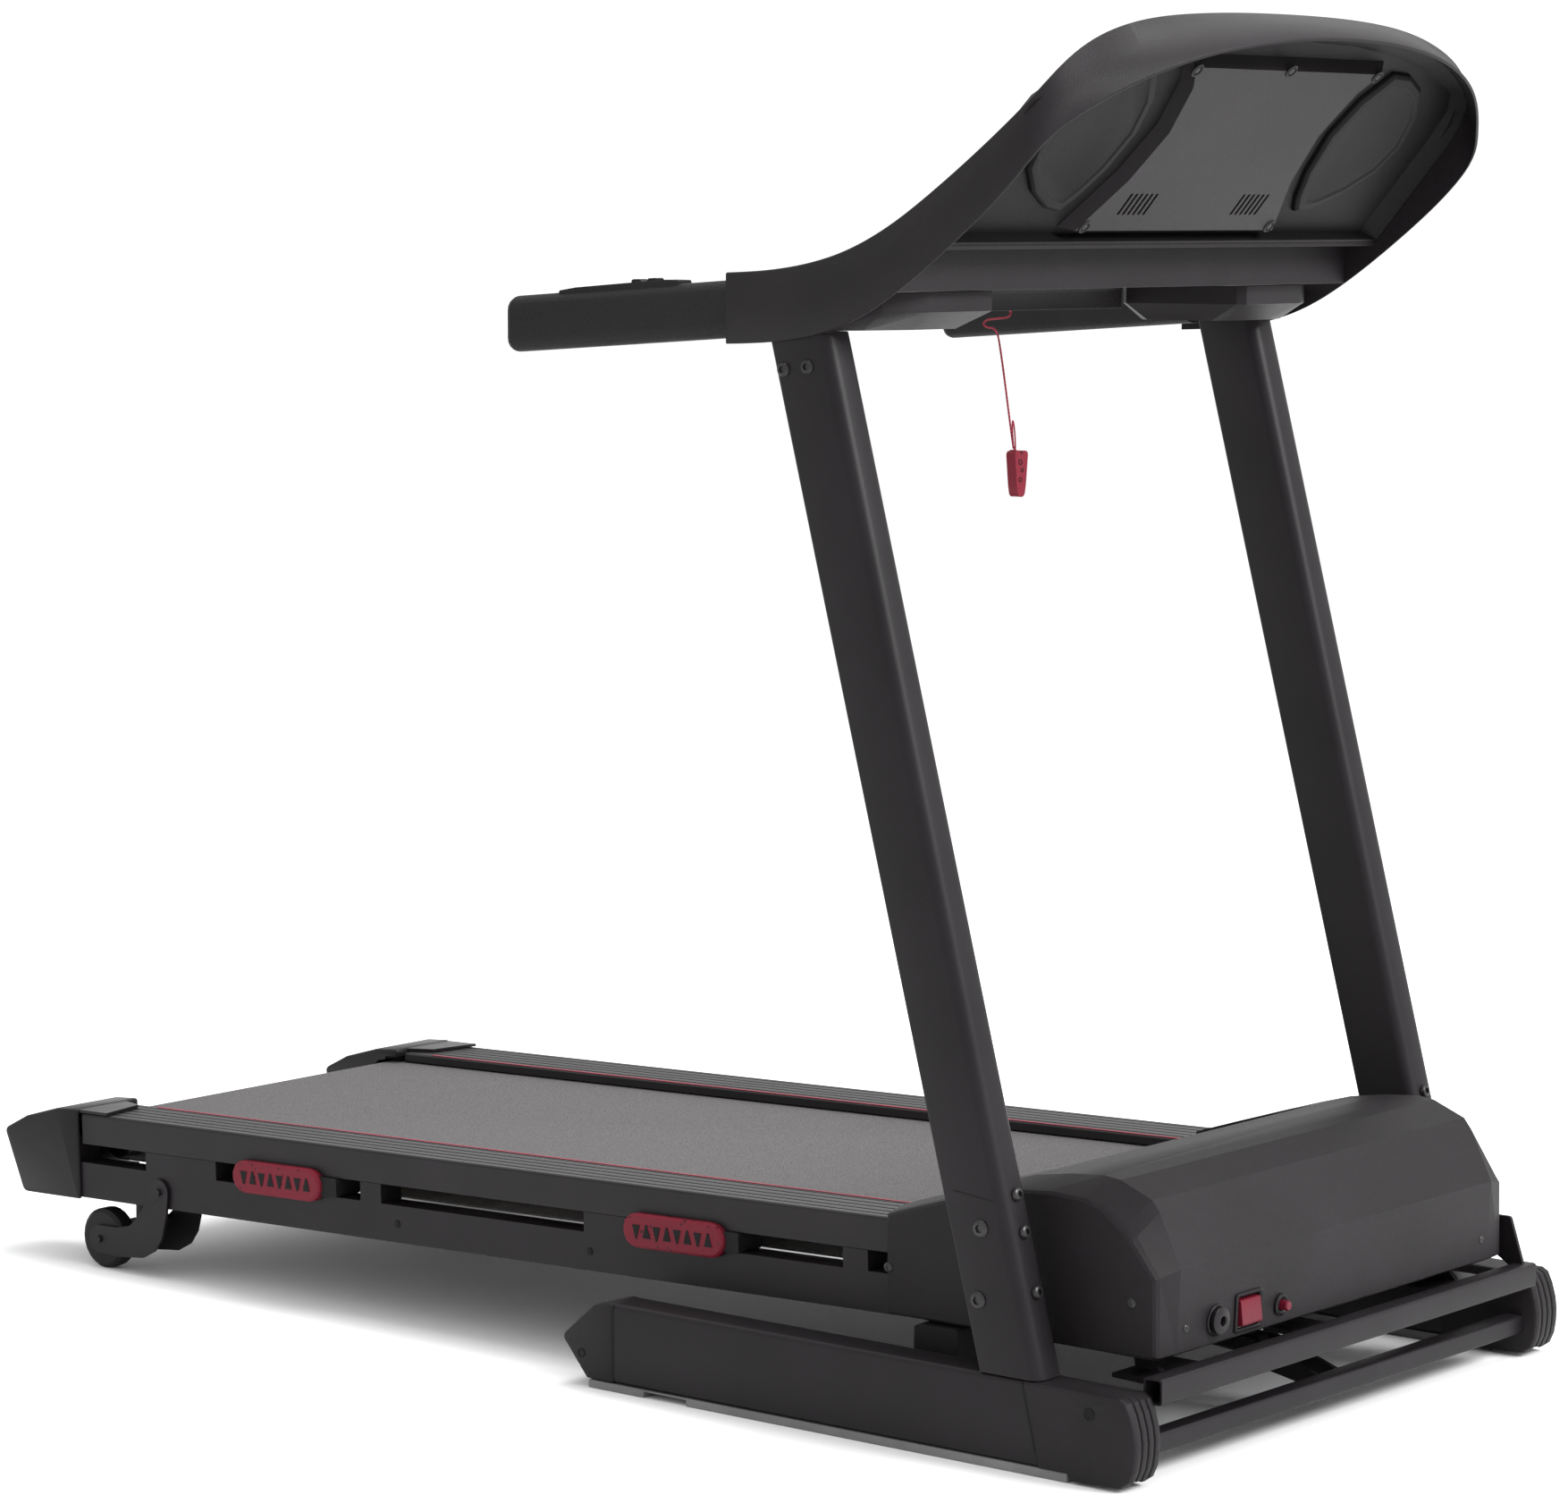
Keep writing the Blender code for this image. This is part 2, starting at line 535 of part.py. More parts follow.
def drawn_in(edge, distance):
    """A rim edge's points (across, up the slope), moved inwards."""
    half = [(RIM_X, PAN_BOTTOM), (RIM_X, -0.040)] + [(x, up) for x, up, out in edge]
    closed = half + [(-x, up) for x, up in reversed(half[:-1])]
    return [(x if i < len(edge) - 1 else 0.0, up)
            for i, (x, up) in enumerate(inset(closed, distance)[2:2 + len(edge)])]


def rim_outline(out, shrink, bottom_up):
    """The rim's closed outline (across, up the slope) at a distance out, drawn in by shrink."""
    half = [(RIM_X, bottom_up), (RIM_X, -0.040)]
    for front, rear in RIM_STATIONS:
        t = min(max((front[2] - out) / (front[2] - rear[2]), 0.0), 1.0)
        half.append((front[0] + (rear[0] - front[0]) * t, front[1] + (rear[1] - front[1]) * t))
    return inset(half + [(-x, up) for x, up in reversed(half[:-1])], shrink)


def console_slab(outline_low, outline_high, out_low, out_high):
    return facets(skin([[console_point(x, up, out_low) for x, up in outline_low],
                        [console_point(x, up, out_high) for x, up in outline_high]]))


def console_covers(layout):
    """The face moulding in front of the pan and the service cover behind it."""
    low = PAN_OUT + PAN_THICK + GAP
    foot = rim_outline(low, 0.0140, PAN_BOTTOM)
    top = [(x * 0.84, up * (0.78 if up > 0 else 0.90)) for x, up in foot]
    face = piece("console_face", console_slab(foot, top, low, FACE_OUT), BLACK_PLASTIC, layout, bevel=0.002)
    cut(face, console_slab(inset(foot, 0.005), inset(top, 0.005), low - 0.0010, FACE_OUT - 0.003))
    for x, up in CONSOLE_KEYS.values():
        hole = stadium((x, up), 0.0372, 0.0212, 6)
        cut(face, console_slab(hole, hole, FACE_OUT - 0.010, FACE_OUT + 0.010))
    socket = rounded_box(-0.0152, 0.0152, -0.1252, -0.1048, 0.003)
    cut(face, console_slab(socket, socket, FACE_OUT - 0.010, FACE_OUT + 0.010))
    well = rounded_box(-0.135, 0.135, -0.020, 0.030, 0.006)
    cut(face, console_slab(well, well, FACE_OUT - 0.0015, FACE_OUT + 0.010))

    waist = [(0.164, 0.052), (0.140, 0.020), (0.128, -0.030), (0.138, -0.085), (0.170, -0.153)]
    outline = waist + [(-x, up) for x, up in reversed(waist)]
    cover = piece("console_back_cover", console_slab(outline, inset(outline, 0.006), PAN_OUT - GAP,
                                                     -0.003), BLACK_PLASTIC, layout)
    inner = inset(outline, 0.0035)
    cut(cover, console_slab(inner, inset(inner, 0.006), PAN_OUT + 0.003, 0.0))
    for x in (-0.091, 0.091):
        for k in range(6):
            slot = rounded_box(x - 0.0225 + k * 0.008, x - 0.0190 + k * 0.008, -0.128, -0.102, 0.001, 1)
            cut(cover, console_slab(slot, slot, -0.010, 0.008))


def console_keys(layout):
    for name, (x, up) in CONSOLE_KEYS.items():
        outline = stadium((x, up), 0.0360, 0.0200, 6)
        bm = console_slab(outline, inset(outline, 0.001), FACE_OUT - 0.0040, FACE_OUT + 0.0020)
        piece(name, bm, BLACK_RUBBER, layout, pivot=console_point(x, up, FACE_OUT))


def safety_key(layout):
    """The pull-out key that the safety cord ends in."""
    stem = rounded_box(-0.0140, 0.0140, -0.1240, -0.1060, 0.003)
    key = piece("safety_key", console_slab(stem, stem, FACE_OUT - 0.006, FACE_OUT + 0.004),
                RED_PLASTIC, layout)
    grip = rounded_box(-0.0190, 0.0190, -0.1280, -0.1020, 0.006)
    fuse(key, console_slab(grip, inset(grip, 0.002), FACE_OUT + 0.0006, FACE_OUT + 0.0120))


def console_crossbar(layout):
    """A steel tube across the trays, behind the console's lower wall, that carries the console."""
    reach = HALF_WIDTH - UPRIGHT_WIDTH - 0.001
    outer = rounded_box(-0.2064, -0.1764, 1.0490, 1.0740, 0.004)
    bar = piece("console_crossbar", prism(outer, "X", -reach, reach), BLACK_PAINT, layout)
    cut(bar, prism(inset(outer, TUBE_WALL), "X", -reach - 0.01, reach + 0.01))
    return bar


def cup_trays(layout):
    """Trays round the uprights' tops: a boot below, a cup well beside it."""
    inner_x, outer_x = 0.2000, RIM_X - RIM_WALL - 0.0006
    low = [(inner_x + 0.022, -0.168), (inner_x + 0.010, -0.155), (inner_x + 0.008, -0.078),
           (inner_x + 0.022, -0.062), (outer_x, -0.062), (outer_x, -0.132), (0.3350, -0.150), (0.2850, -0.168)]
    high = [(inner_x + 0.006, -0.198), (inner_x, -0.190), (inner_x, -0.058), (inner_x + 0.006, -0.050),
            (outer_x, -0.050), (outer_x, -0.140), (0.3400, -0.176), (0.3000, -0.198)]
    levels = [(low, 1.0135), (high, 1.0300), (high, 1.0480)]
    well_centre = (0.262, -0.118)
    for side, mirrored in SIDES:
        bm = skin([[(x, y, z) for x, y in outline] for outline, z in levels])
        tray = piece("cup_tray_" + side, sided(bm, mirrored), BLACK_PLASTIC, layout)
        well = [(0.0330, 1.0180), (0.0345, 1.0200), (0.0365, 1.10)]
        cut(tray, sided(turned(well, "Z", well_centre, 20), mirrored))
        gap = 0.0008
        top_y = UPRIGHT_FOOT_Y + (UPRIGHT_TOP - RAIL_HIGH) * math.tan(UPRIGHT_LEAN)
        pocket = rounded_box(HALF_WIDTH - UPRIGHT_WIDTH - gap, HALF_WIDTH + 0.02,
                             top_y - UPRIGHT_DEPTH - 0.004, top_y + 0.012, 0.002)
        cut(tray, sided(prism(pocket, "Z", 0.99, 1.1), mirrored))


def handlebars(layout):
    """Straight grips that run back from the console's sides, with a raised key panel on each."""
    drop = 0.0739
    centre_x, width, height = 0.3380, 0.0350, 0.0530

    def section(y, shrink):
        mid = 1.0335 - drop * max(y, -0.008)
        half_w, half_h = width / 2 - shrink, height / 2 - shrink
        outline = rounded_box(centre_x - half_w, centre_x + half_w, mid - half_h, mid + half_h,
                              0.0135 - shrink, 4)
        return [(x, y, z) for x, z in outline]

    def top_z(y):
        return 1.0335 - drop * y + height / 2

    for side, mirrored in SIDES:
        loops = [section(-0.045, 0.0), section(0.262, 0.0), section(0.2665, 0.002), section(0.2690, 0.006)]
        bar = piece("handlebar_" + side, sided(skin(loops), mirrored), BLACK_RUBBER, layout)
        panel = fillet([(0.058, top_z(0.058) - 0.006, 0.0), (0.206, top_z(0.206) - 0.006, 0.0),
                        (0.206, top_z(0.206) + 0.0015, 0.002), (0.185, top_z(0.185) + 0.0030, 0.006),
                        (0.075, top_z(0.075) + 0.0030, 0.006), (0.058, top_z(0.058) + 0.0015, 0.002)])
        fuse(bar, sided(prism(panel, "X", centre_x - 0.010, centre_x + 0.010), mirrored))
        hole_y = 0.1035
        hole = rounded_box(centre_x - 0.0065, centre_x + 0.0065, hole_y - 0.0165, hole_y + 0.0165, 0.0012, 1)
        cut(bar, sided(prism(hole, "Z", top_z(hole_y) - 0.0050, top_z(hole_y) + 0.02), mirrored))


def handlebar_keys(layout):
    """A two-way rocking key on each handlebar, raised at both ends and pivoted in the middle."""
    mid_y, centre_x = 0.1035, 0.3380
    surface = 1.0335 - 0.0739 * mid_y + 0.0265 + 0.0030
    outline = [(mid_y - 0.0155, surface - 0.0035), (mid_y, surface - 0.0055), (mid_y + 0.0155, surface - 0.0045),
               (mid_y + 0.0155, surface + 0.0012), (mid_y + 0.0135, surface + 0.0022),
               (mid_y + 0.0055, surface + 0.0024), (mid_y + 0.0030, surface + 0.0004),
               (mid_y - 0.0030, surface + 0.0008), (mid_y - 0.0055, surface + 0.0032),
               (mid_y - 0.0135, surface + 0.0036), (mid_y - 0.0155, surface + 0.0028)]
    for side, mirrored in SIDES:
        bm = sided(prism(outline, "X", centre_x - 0.0058, centre_x + 0.0058), mirrored)
        piece("handlebar_key_" + side, bm, BLACK_PLASTIC, layout, pivot=(0, mid_y, surface - 0.003))


# The safety cord's route, from the key over the console's lower edge to the clip that hangs below.
CORD_ROUTE = [(0.0000, -0.2396, 1.1606), (0.0010, -0.2290, 1.1690), (0.0040, -0.2120, 1.1660),
              (0.0080, -0.1990, 1.1460), (0.0100, -0.1900, 1.1180), (0.0100, -0.1780, 1.0930),
              (0.0100, -0.1560, 1.0800), (0.0100, -0.1200, 1.0700), (0.0110, -0.0850, 1.0610),
              (0.0130, -0.0590, 1.0545), (0.0160, -0.0465, 1.0460), (0.0200, -0.0450, 1.0350),
              (0.0240, -0.0450, 1.0270), (0.0265, -0.0450, 1.0220), (0.0210, -0.0450, 1.0185),
              (0.0050, -0.0450, 1.0175), (-0.0100, -0.0450, 1.0165), (-0.0170, -0.0450, 1.0130),
              (-0.0110, -0.0450, 1.0095), (-0.0010, -0.0450, 1.0080), (0.0060, -0.0450, 1.0010),
              (0.0120, -0.0450, 0.9800), (0.0180, -0.0450, 0.9540), (0.0250, -0.0450, 0.9220),
              (0.0320, -0.0450, 0.8915)]
CLIP_TOP_Z = 0.8900


def cord_points(route, per_span):
    """Points on a smooth curve through the route."""
    pts = [Vector(p) for p in route]
    pts = [pts[0] * 2 - pts[1]] + pts + [pts[-1] * 2 - pts[-2]]
    line = []
    for a, b, c, d in zip(pts, pts[1:], pts[2:], pts[3:]):
        for k in range(per_span):
            t = k / per_span
            line.append(0.5 * ((2 * b) + (c - a) * t + (2 * a - 5 * b + 4 * c - d) * t * t
                               + (3 * b - a - 3 * c + d) * t ** 3))
    line.append(pts[-2])
    return line


def safety_cord(layout):
    points = cord_points(CORD_ROUTE, 3)
    data = bpy.data.curves.new("safety_cord", "CURVE")
    data.dimensions = "3D"
    data.bevel_depth = CORD_RADIUS
    data.bevel_resolution = 2
    data.use_fill_caps = True
    spline = data.splines.new("POLY")
    spline.points.add(len(points) - 1)
    for place, point in zip(spline.points, points):
        place.co = (*point, 1.0)
    data.materials.append(material("safety_cord", *RED_RUBBER))
    cord = bpy.data.objects.new("safety_cord", data)
    bpy.context.collection.objects.link(cord)
    cord.parent = layout


def safety_clip(layout):
    """The clip that the user fastens to clothing."""
    y, x = -0.0450, 0.0380
    outline = fillet([(x - 0.0110, CLIP_TOP_Z - 0.001, 0.004), (x - 0.0035, CLIP_TOP_Z - 0.001, 0.002),
                      (x, CLIP_TOP_Z - 0.007, 0.002), (x + 0.0035, CLIP_TOP_Z - 0.001, 0.002),
                      (x + 0.0110, CLIP_TOP_Z - 0.001, 0.004), (x + 0.0075, CLIP_TOP_Z - 0.034, 0.01),
                      (x + 0.0050, CLIP_TOP_Z - 0.0460, 0.005), (x - 0.0050, CLIP_TOP_Z - 0.0460, 0.005),
                      (x - 0.0075, CLIP_TOP_Z - 0.034, 0.01)])
    clip = piece("safety_clip", prism(outline, "Y", y - 0.0055, y + 0.0055), RED_PLASTIC, layout)
    eye = rounded_box(x - 0.0085, x - 0.0035, CLIP_TOP_Z - 0.0120, CLIP_TOP_Z + 0.0, 0.001, 1)
    fuse(clip, prism(eye, "Y", y - 0.003, y + 0.003))


# ---------------------------------------------------------------- deck
def deck_frames(deck):
    """Side tubes of the deck with the blocks that the foot rails and roller shafts rest on."""
    low_x, high_x = DECK_HALF - FRAME_TUBE_WIDTH, DECK_HALF
    front, rear = FOLD_Y - 0.0045, 0.9900
    blocks = [(0.8570, 0.7510), (0.5410, 0.5120), (0.2370, 0.1815), (-0.0880, -0.1180)]
    under_rail = -FOOT_RAIL_DROP - GAP
    shaft_top = ROLLER_Z + 0.012
    outline = [(front, FRAME_LOW), (rear, FRAME_LOW), (rear, shaft_top), (0.9600, shaft_top),
               (0.9600, FRAME_HIGH)]
    for high_y, low_y in blocks:
        outline += [(high_y, FRAME_HIGH), (high_y, under_rail), (low_y, under_rail), (low_y, FRAME_HIGH)]
    outline += [(-0.2700, FRAME_HIGH), (-0.2700, shaft_top), (-0.3000, shaft_top), (-0.3000, FRAME_HIGH),
                (front, FRAME_HIGH)]
    hollow = rounded_box(low_x + TUBE_WALL, high_x - TUBE_WALL, FRAME_LOW + TUBE_WALL,
                         FRAME_HIGH - TUBE_WALL, 0.002, 2)
    tilt = Matrix.Rotation(DECK_TILT, 4, "X")
    fold_local = tilt @ Vector((0, FOLD_Y, FOLD_Z - DECK_ZERO_Z))
    foot_local = tilt @ Vector((0, FOOT_PIVOT.x, FOOT_PIVOT.y - DECK_ZERO_Z))
    for side, mirrored in SIDES:
        frame = piece("deck_frame_" + side, sided(prism(outline, "X", low_x, high_x), mirrored),
                      BLACK_PAINT, deck)
        cut(frame, sided(prism(hollow, "Y", front - 0.01, rear + 0.01), mirrored))
        for y, z, radius, reach in ((fold_local.y, fold_local.z, 0.0052, high_x - 0.0010),
                                    (FRONT_ROLLER_Y, ROLLER_Z, 0.0064, low_x + 0.016),
                                    (REAR_ROLLER_Y, ROLLER_Z, 0.0064, low_x + 0.016),
                                    (foot_local.y, foot_local.z, 0.0045, high_x + 0.01)):
            hole = arc((y, z), radius, 0, 330, 11)
            cut(frame, sided(prism(hole, "X", low_x - 0.01, reach), mirrored))


def deck_cross_members(deck):
    """The rear crossbar carries the strut's lug, and the tray carries the motor and its controller."""
    reach = DECK_HALF - FRAME_TUBE_WIDTH - GAP
    tilt = Matrix.Rotation(DECK_TILT, 4, "X")
    lug = tilt @ Vector((0, STRUT_DECK.x, STRUT_DECK.y - DECK_ZERO_Z))
    bar_y = lug.y + 0.034
    bar = piece("deck_crossbar", prism(rounded_box(bar_y, bar_y + 0.030, -0.0900, -0.0655, 0.003), "X",
                                       -reach, reach), BLACK_PAINT, deck)
    cut(bar, prism(rounded_box(bar_y + 0.002, bar_y + 0.028, -0.0880, -0.0675, 0.002), "X",
                   -reach - 0.01, reach + 0.01))
    ear = fillet([(bar_y + 0.001, -0.0880, 0.0), (bar_y + 0.001, -0.0690, 0.0),
                  (lug.y - 0.020, -0.0690, 0.004), (lug.y - 0.020, lug.z - 0.020, 0.006),
                  (lug.y + 0.012, lug.z - 0.020, 0.006)])
    for low_x in (-0.0240, 0.0180):
        fuse(bar, prism(ear, "X", low_x, low_x + 0.006))

    plan = [(-0.2430, -0.4300), (0.2430, -0.4300), (0.2430, -0.3850), (reach, -0.3750), (reach, -0.2350),
            (-reach, -0.2350), (-reach, -0.3750), (-0.2430, -0.3850)]
    tray = piece("motor_tray", prism(plan, "Z", -0.0905, -0.0870), BLACK_PAINT, deck)
    fuse(tray, prism(rounded_box(-0.2300, -0.1150, -0.4150, -0.3200, 0.004), "Z", -0.0880, -0.0450))


def running_board(deck):
    piece("running_board", prism(rounded_box(-0.2540, 0.2540, -0.2450, 0.9400, 0.006), "Z",
                                 BELT_TOP - BELT_THICK - GAP - 0.018, BELT_TOP - BELT_THICK - GAP),
          BOARD, deck)


def walking_belt(deck):
    centre_a, centre_b = (FRONT_ROLLER_Y, ROLLER_Z), (REAR_ROLLER_Y, ROLLER_Z)
    inner_r = ROLLER_R + GAP
    outer = belt_outline(centre_a, inner_r + BELT_THICK, centre_b, inner_r + BELT_THICK, 12)
    inner = belt_outline(centre_a, inner_r, centre_b, inner_r, 12)
    bm = pipe(outer, inner, lambda y, z: (-BELT_HALF, y, z), lambda y, z: (BELT_HALF, y, z))
    piece("walking_belt", bm, BELT_BLACK, deck)


def rollers(deck):
    """Both rollers turn with their shafts in the frame's blocks; the front one has the belt pulley."""
    shaft, drum = DECK_HALF - FRAME_TUBE_WIDTH + 0.0150, 0.2160
    profile = [(0.0060, -shaft), (0.0060, -drum), (ROLLER_R - 0.0015, -drum), (ROLLER_R, -drum + 0.0015),
               (ROLLER_R, drum - 0.0015), (ROLLER_R - 0.0015, drum), (0.0060, drum)]
    pulley = [(0.0060, PULLEY_X - 0.0100), (ROLLER_PULLEY_R + 0.003, PULLEY_X - 0.0100),
              (ROLLER_PULLEY_R + 0.003, PULLEY_X - 0.0080), (ROLLER_PULLEY_R, PULLEY_X - 0.0072),
              (ROLLER_PULLEY_R, PULLEY_X + 0.0072), (ROLLER_PULLEY_R + 0.003, PULLEY_X + 0.0080),
              (ROLLER_PULLEY_R + 0.003, PULLEY_X + 0.0100), (0.0060, PULLEY_X + 0.0100)]
    front = turned(profile + pulley + [(0.0060, shaft)], "X", (FRONT_ROLLER_Y, ROLLER_Z))
    piece("front_roller", front, STEEL, deck, pivot=(0, FRONT_ROLLER_Y, ROLLER_Z))
    rear = turned(profile + [(0.0060, shaft)], "X", (REAR_ROLLER_Y, ROLLER_Z))
    piece("rear_roller", rear, STEEL, deck, pivot=(0, REAR_ROLLER_Y, ROLLER_Z))


def drive(deck):
    centre = (MOTOR_Y, MOTOR_Z)
    shell = [(0.0300, -0.0800), (0.0400, -0.0760), (0.0420, -0.0700), (0.0420, 0.1000), (0.0400, 0.1080),
             (0.0300, 0.1120), (0.0110, 0.1120), (0.0110, 0.1180)]
    motor = piece("drive_motor", turned(shell, "X", centre), BLACK_PAINT, deck)
    feet = rounded_box(MOTOR_Y - 0.0300, MOTOR_Y + 0.0300, -0.0870 + GAP, MOTOR_Z, 0.002, 2)
    for low_x in (-0.0500, 0.0550):
        fuse(motor, prism(feet, "X", low_x, low_x + 0.0200))
    rotor = [(0.0055, 0.1183), (0.0055, 0.1300), (0.0480, 0.1300), (0.0500, 0.1320), (0.0500, 0.1530),
             (0.0480, 0.1550), (0.0120, 0.1550), (0.0120, PULLEY_X - 0.0100),
             (MOTOR_PULLEY_R + 0.003, PULLEY_X - 0.0100), (MOTOR_PULLEY_R + 0.003, PULLEY_X - 0.0080),
             (MOTOR_PULLEY_R, PULLEY_X - 0.0072), (MOTOR_PULLEY_R, PULLEY_X + 0.0072),
             (MOTOR_PULLEY_R + 0.003, PULLEY_X + 0.0080), (MOTOR_PULLEY_R + 0.003, PULLEY_X + 0.0100)]
    piece("motor_flywheel", turned(rotor, "X", centre), STEEL, deck, pivot=(0, *centre))
    small, large = MOTOR_PULLEY_R + 0.0008, ROLLER_PULLEY_R + 0.0008
    roller = (FRONT_ROLLER_Y, ROLLER_Z)
    outer = belt_outline(centre, small + DRIVE_BELT_THICK, roller, large + DRIVE_BELT_THICK, 12)
    inner = belt_outline(centre, small, roller, large, 12)
    half = DRIVE_BELT_WIDTH / 2
    belt = pipe(outer, inner, lambda y, z: (PULLEY_X - half, y, z), lambda y, z: (PULLEY_X + half, y, z))
    piece("drive_belt", belt, BLACK_RUBBER, deck)


def foot_rails(deck):
    """Extruded side boards that the user stands on, ribbed along their length."""
    inner_x, outer_x = 0.2105, DECK_HALF
    top = [(inner_x, -0.0100), (inner_x, -0.0020), (inner_x + 0.0020, -0.0004), (inner_x + 0.0075, -0.0004)]
    first, pitch, depth = inner_x + 0.0105, 0.0130, 0.0012
    for k in range(5):
        x = first + k * pitch
        top += [(x, 0.0), (x + 0.0004, -depth), (x + 0.0022, -depth), (x + 0.0026, 0.0)]
    outline = top + [(outer_x - 0.0030, 0.0), (outer_x - 0.0008, -0.0008), (outer_x, -0.0030),
                     (outer_x, -FOOT_RAIL_DROP), (outer_x - 0.0025, -FOOT_RAIL_DROP),
                     (outer_x - 0.0025, -0.0032), (outer_x - 0.0200, -0.0032),
                     (outer_x - 0.0200, -0.0133), (outer_x - 0.0225, -0.0133),
                     (outer_x - 0.0225, -0.0032), (inner_x + 0.0025, -0.0032), (inner_x + 0.0025, -0.0100)]
    for side, mirrored in SIDES:
        piece("foot_rail_" + side, sided(prism(outline, "Y", -0.1450, 0.9540), mirrored),
              BLACK_PLASTIC, deck)


def cushions(deck):
    """Rubber cushions between the foot rails and the frame, each with a long face pad outside."""
    mid_z = -0.0430
    for place, y, low_y, high_y in (("rear", 0.6550, 0.5712, 0.7188), ("front", 0.1155, 0.0360, 0.1800)):
        pad = stadium((y, mid_z), 0.1280, 0.0340, 7)
        for side, mirrored in SIDES:
            low_x = DECK_HALF + GAP
            loops = [[(low_x, a, b) for a, b in pad], [(low_x + 0.0065, a, b) for a, b in pad],
                     [(low_x + 0.0085, a, b) for a, b in inset(pad, 0.0025)]]
            cushion = piece("cushion_%s_%s" % (place, side), sided(skin(loops), mirrored), RED_RUBBER, deck)
            body = rounded_box(low_y, high_y, FRAME_HIGH + GAP, -FOOT_RAIL_DROP - GAP, 0.002, 2)
            fuse(cushion, sided(prism(body, "X", DECK_HALF - FRAME_TUBE_WIDTH, low_x + 0.004), mirrored))


def end_caps(deck):
    """Corner mouldings over the rear ends of the frame and the rear roller."""
    side_line = fillet([(0.9575, -0.0930, 0.003), (1.0470, -0.0930, 0.008), (1.0745, -0.0260, 0.006),
                        (1.0390, -0.0095, 0.010), (0.9900, 0.0030, 0.020), (0.9575, 0.0045, 0.0)])
    tongue = [(0.9140, 0.0030), (0.9600, 0.0045), (0.9600, 0.0006), (0.9140, 0.0006)]
    for side, mirrored in SIDES:
        low_x, high_x = 0.2000, DECK_HALF + 0.0040
        cap = piece("end_cap_" + side, sided(prism(side_line, "X", low_x, high_x), mirrored),
                    BLACK_PLASTIC, deck, bevel=0.003)
        plan = [(high_x - 0.003, 0.9140), (high_x - 0.003, 0.9620), (0.2170, 0.9620), (0.2290, 0.9270)]
        fuse(cap, sided(prism(plan, "Z", 0.0006, 0.0036), mirrored))
        hollow = [(0.94, -0.12), (0.94, 0.0), (1.0200, -0.0050), (1.0520, -0.0250), (1.0300, -0.12)]
        cut(cap, sided(prism(hollow, "X", 0.2540, high_x - 0.0030), mirrored))
        roller_room = arc((REAR_ROLLER_Y, ROLLER_Z), ROLLER_R + 0.006, 90, 270, 8)
        roller_room += arc((REAR_ROLLER_Y, ROLLER_Z), ROLLER_R + 0.006, -90, 90, 8)
        cut(cap, sided(prism(roller_room, "X", 0.10, 0.2600), mirrored))
        mouth = [(0.90, ROLLER_Z - 0.0290), (0.90, 0.0003), (REAR_ROLLER_Y, -0.0045),
                 (REAR_ROLLER_Y, ROLLER_Z - 0.0290)]
        cut(cap, sided(prism(mouth, "X", 0.10, 0.2600), mirrored))


HOOD_MIDDLE = [(-0.1450, 0.1040), (-0.1450, 0.2035), (-0.1560, 0.2075), (-0.2124, 0.2255), (-0.2600, 0.2400),
               (-0.2940, 0.2495), (-0.3350, 0.2560), (-0.3720, 0.2590), (-0.3900, 0.2570), (-0.4250, 0.2430),
               (-0.4330, 0.2330), (-0.4566, 0.1840), (-0.4530, 0.1070), (-0.4480, 0.1040)]
HOOD_END = [(-0.1450, 0.1040), (-0.1450, 0.1990), (-0.1560, 0.2030), (-0.2124, 0.2205), (-0.2600, 0.2335),
            (-0.2940, 0.2410), (-0.3350, 0.2445), (-0.3720, 0.2425), (-0.3900, 0.2375), (-0.4150, 0.2190),
            (-0.4240, 0.2100), (-0.4500, 0.1780), (-0.4510, 0.1070), (-0.4460, 0.1040)]


def motor_hood(layout_deck):
    """The moulded cover over the motor, open underneath and at the belt."""
    half = 0.2925
    wall = 0.0030

    def loops(half_width, shrink):
        """Profiles across the width; near the ends they pass from the middle's to the end's."""
        rows = []
        for back, blend, draw in ((0.0, 1.0, 0.0035), (0.0020, 0.97, 0.0010), (0.0060, 0.85, 0.0),
                                  (0.0300, 0.0, 0.0)):
            outline = [tuple(Vector(m).lerp(Vector(e), blend)) for m, e in zip(HOOD_MIDDLE, HOOD_END)]
            outline = inset(outline, draw + shrink) if draw + shrink else outline
            rows.append((half_width - back, outline))
        ends = [(-x, outline) for x, outline in rows] + [(x, outline) for x, outline in reversed(rows)]
        return [[(x, y, z) for y, z in outline] for x, outline in ends]

    hood = piece("motor_hood", skin(loops(half, 0.0)), BLACK_PLASTIC, layout_deck)
    cut(hood, skin(loops(half - wall, wall)))
    below = [(-0.1000, 0.0700), (-0.1000, 0.1950), (-0.1490, 0.1950), (-0.1490, 0.1130), (-0.4470, 0.1130),
             (-0.4470, 0.0700)]
    cut(hood, prism(below, "X", -half + 0.0040, half - 0.0040))
    throat = [(-0.2900, 0.2700), (-0.2820, 0.2420), (-0.2660, 0.2120), (-0.2560, 0.1920), (-0.2560, 0.0800),
              (-0.1000, 0.0800), (-0.1000, 0.2700)]
    cut(hood, prism(throat, "X", -0.2100, 0.2100))
    for x, half_y, low, high in ((-0.1522, 0.0172, 0.1125, 0.1430),):
        window = rounded_box(x - half_y, x + half_y, low, high, 0.002)
        cut(hood, prism(window, "Y", -0.48, -0.44))
    for x, z, radius in ((-0.2030, 0.1275, 0.0095), (-0.0990, 0.1240, 0.0052)):
        cut(hood, prism(arc((x, z), radius, 0, 330, 11), "Y", -0.48, -0.44))


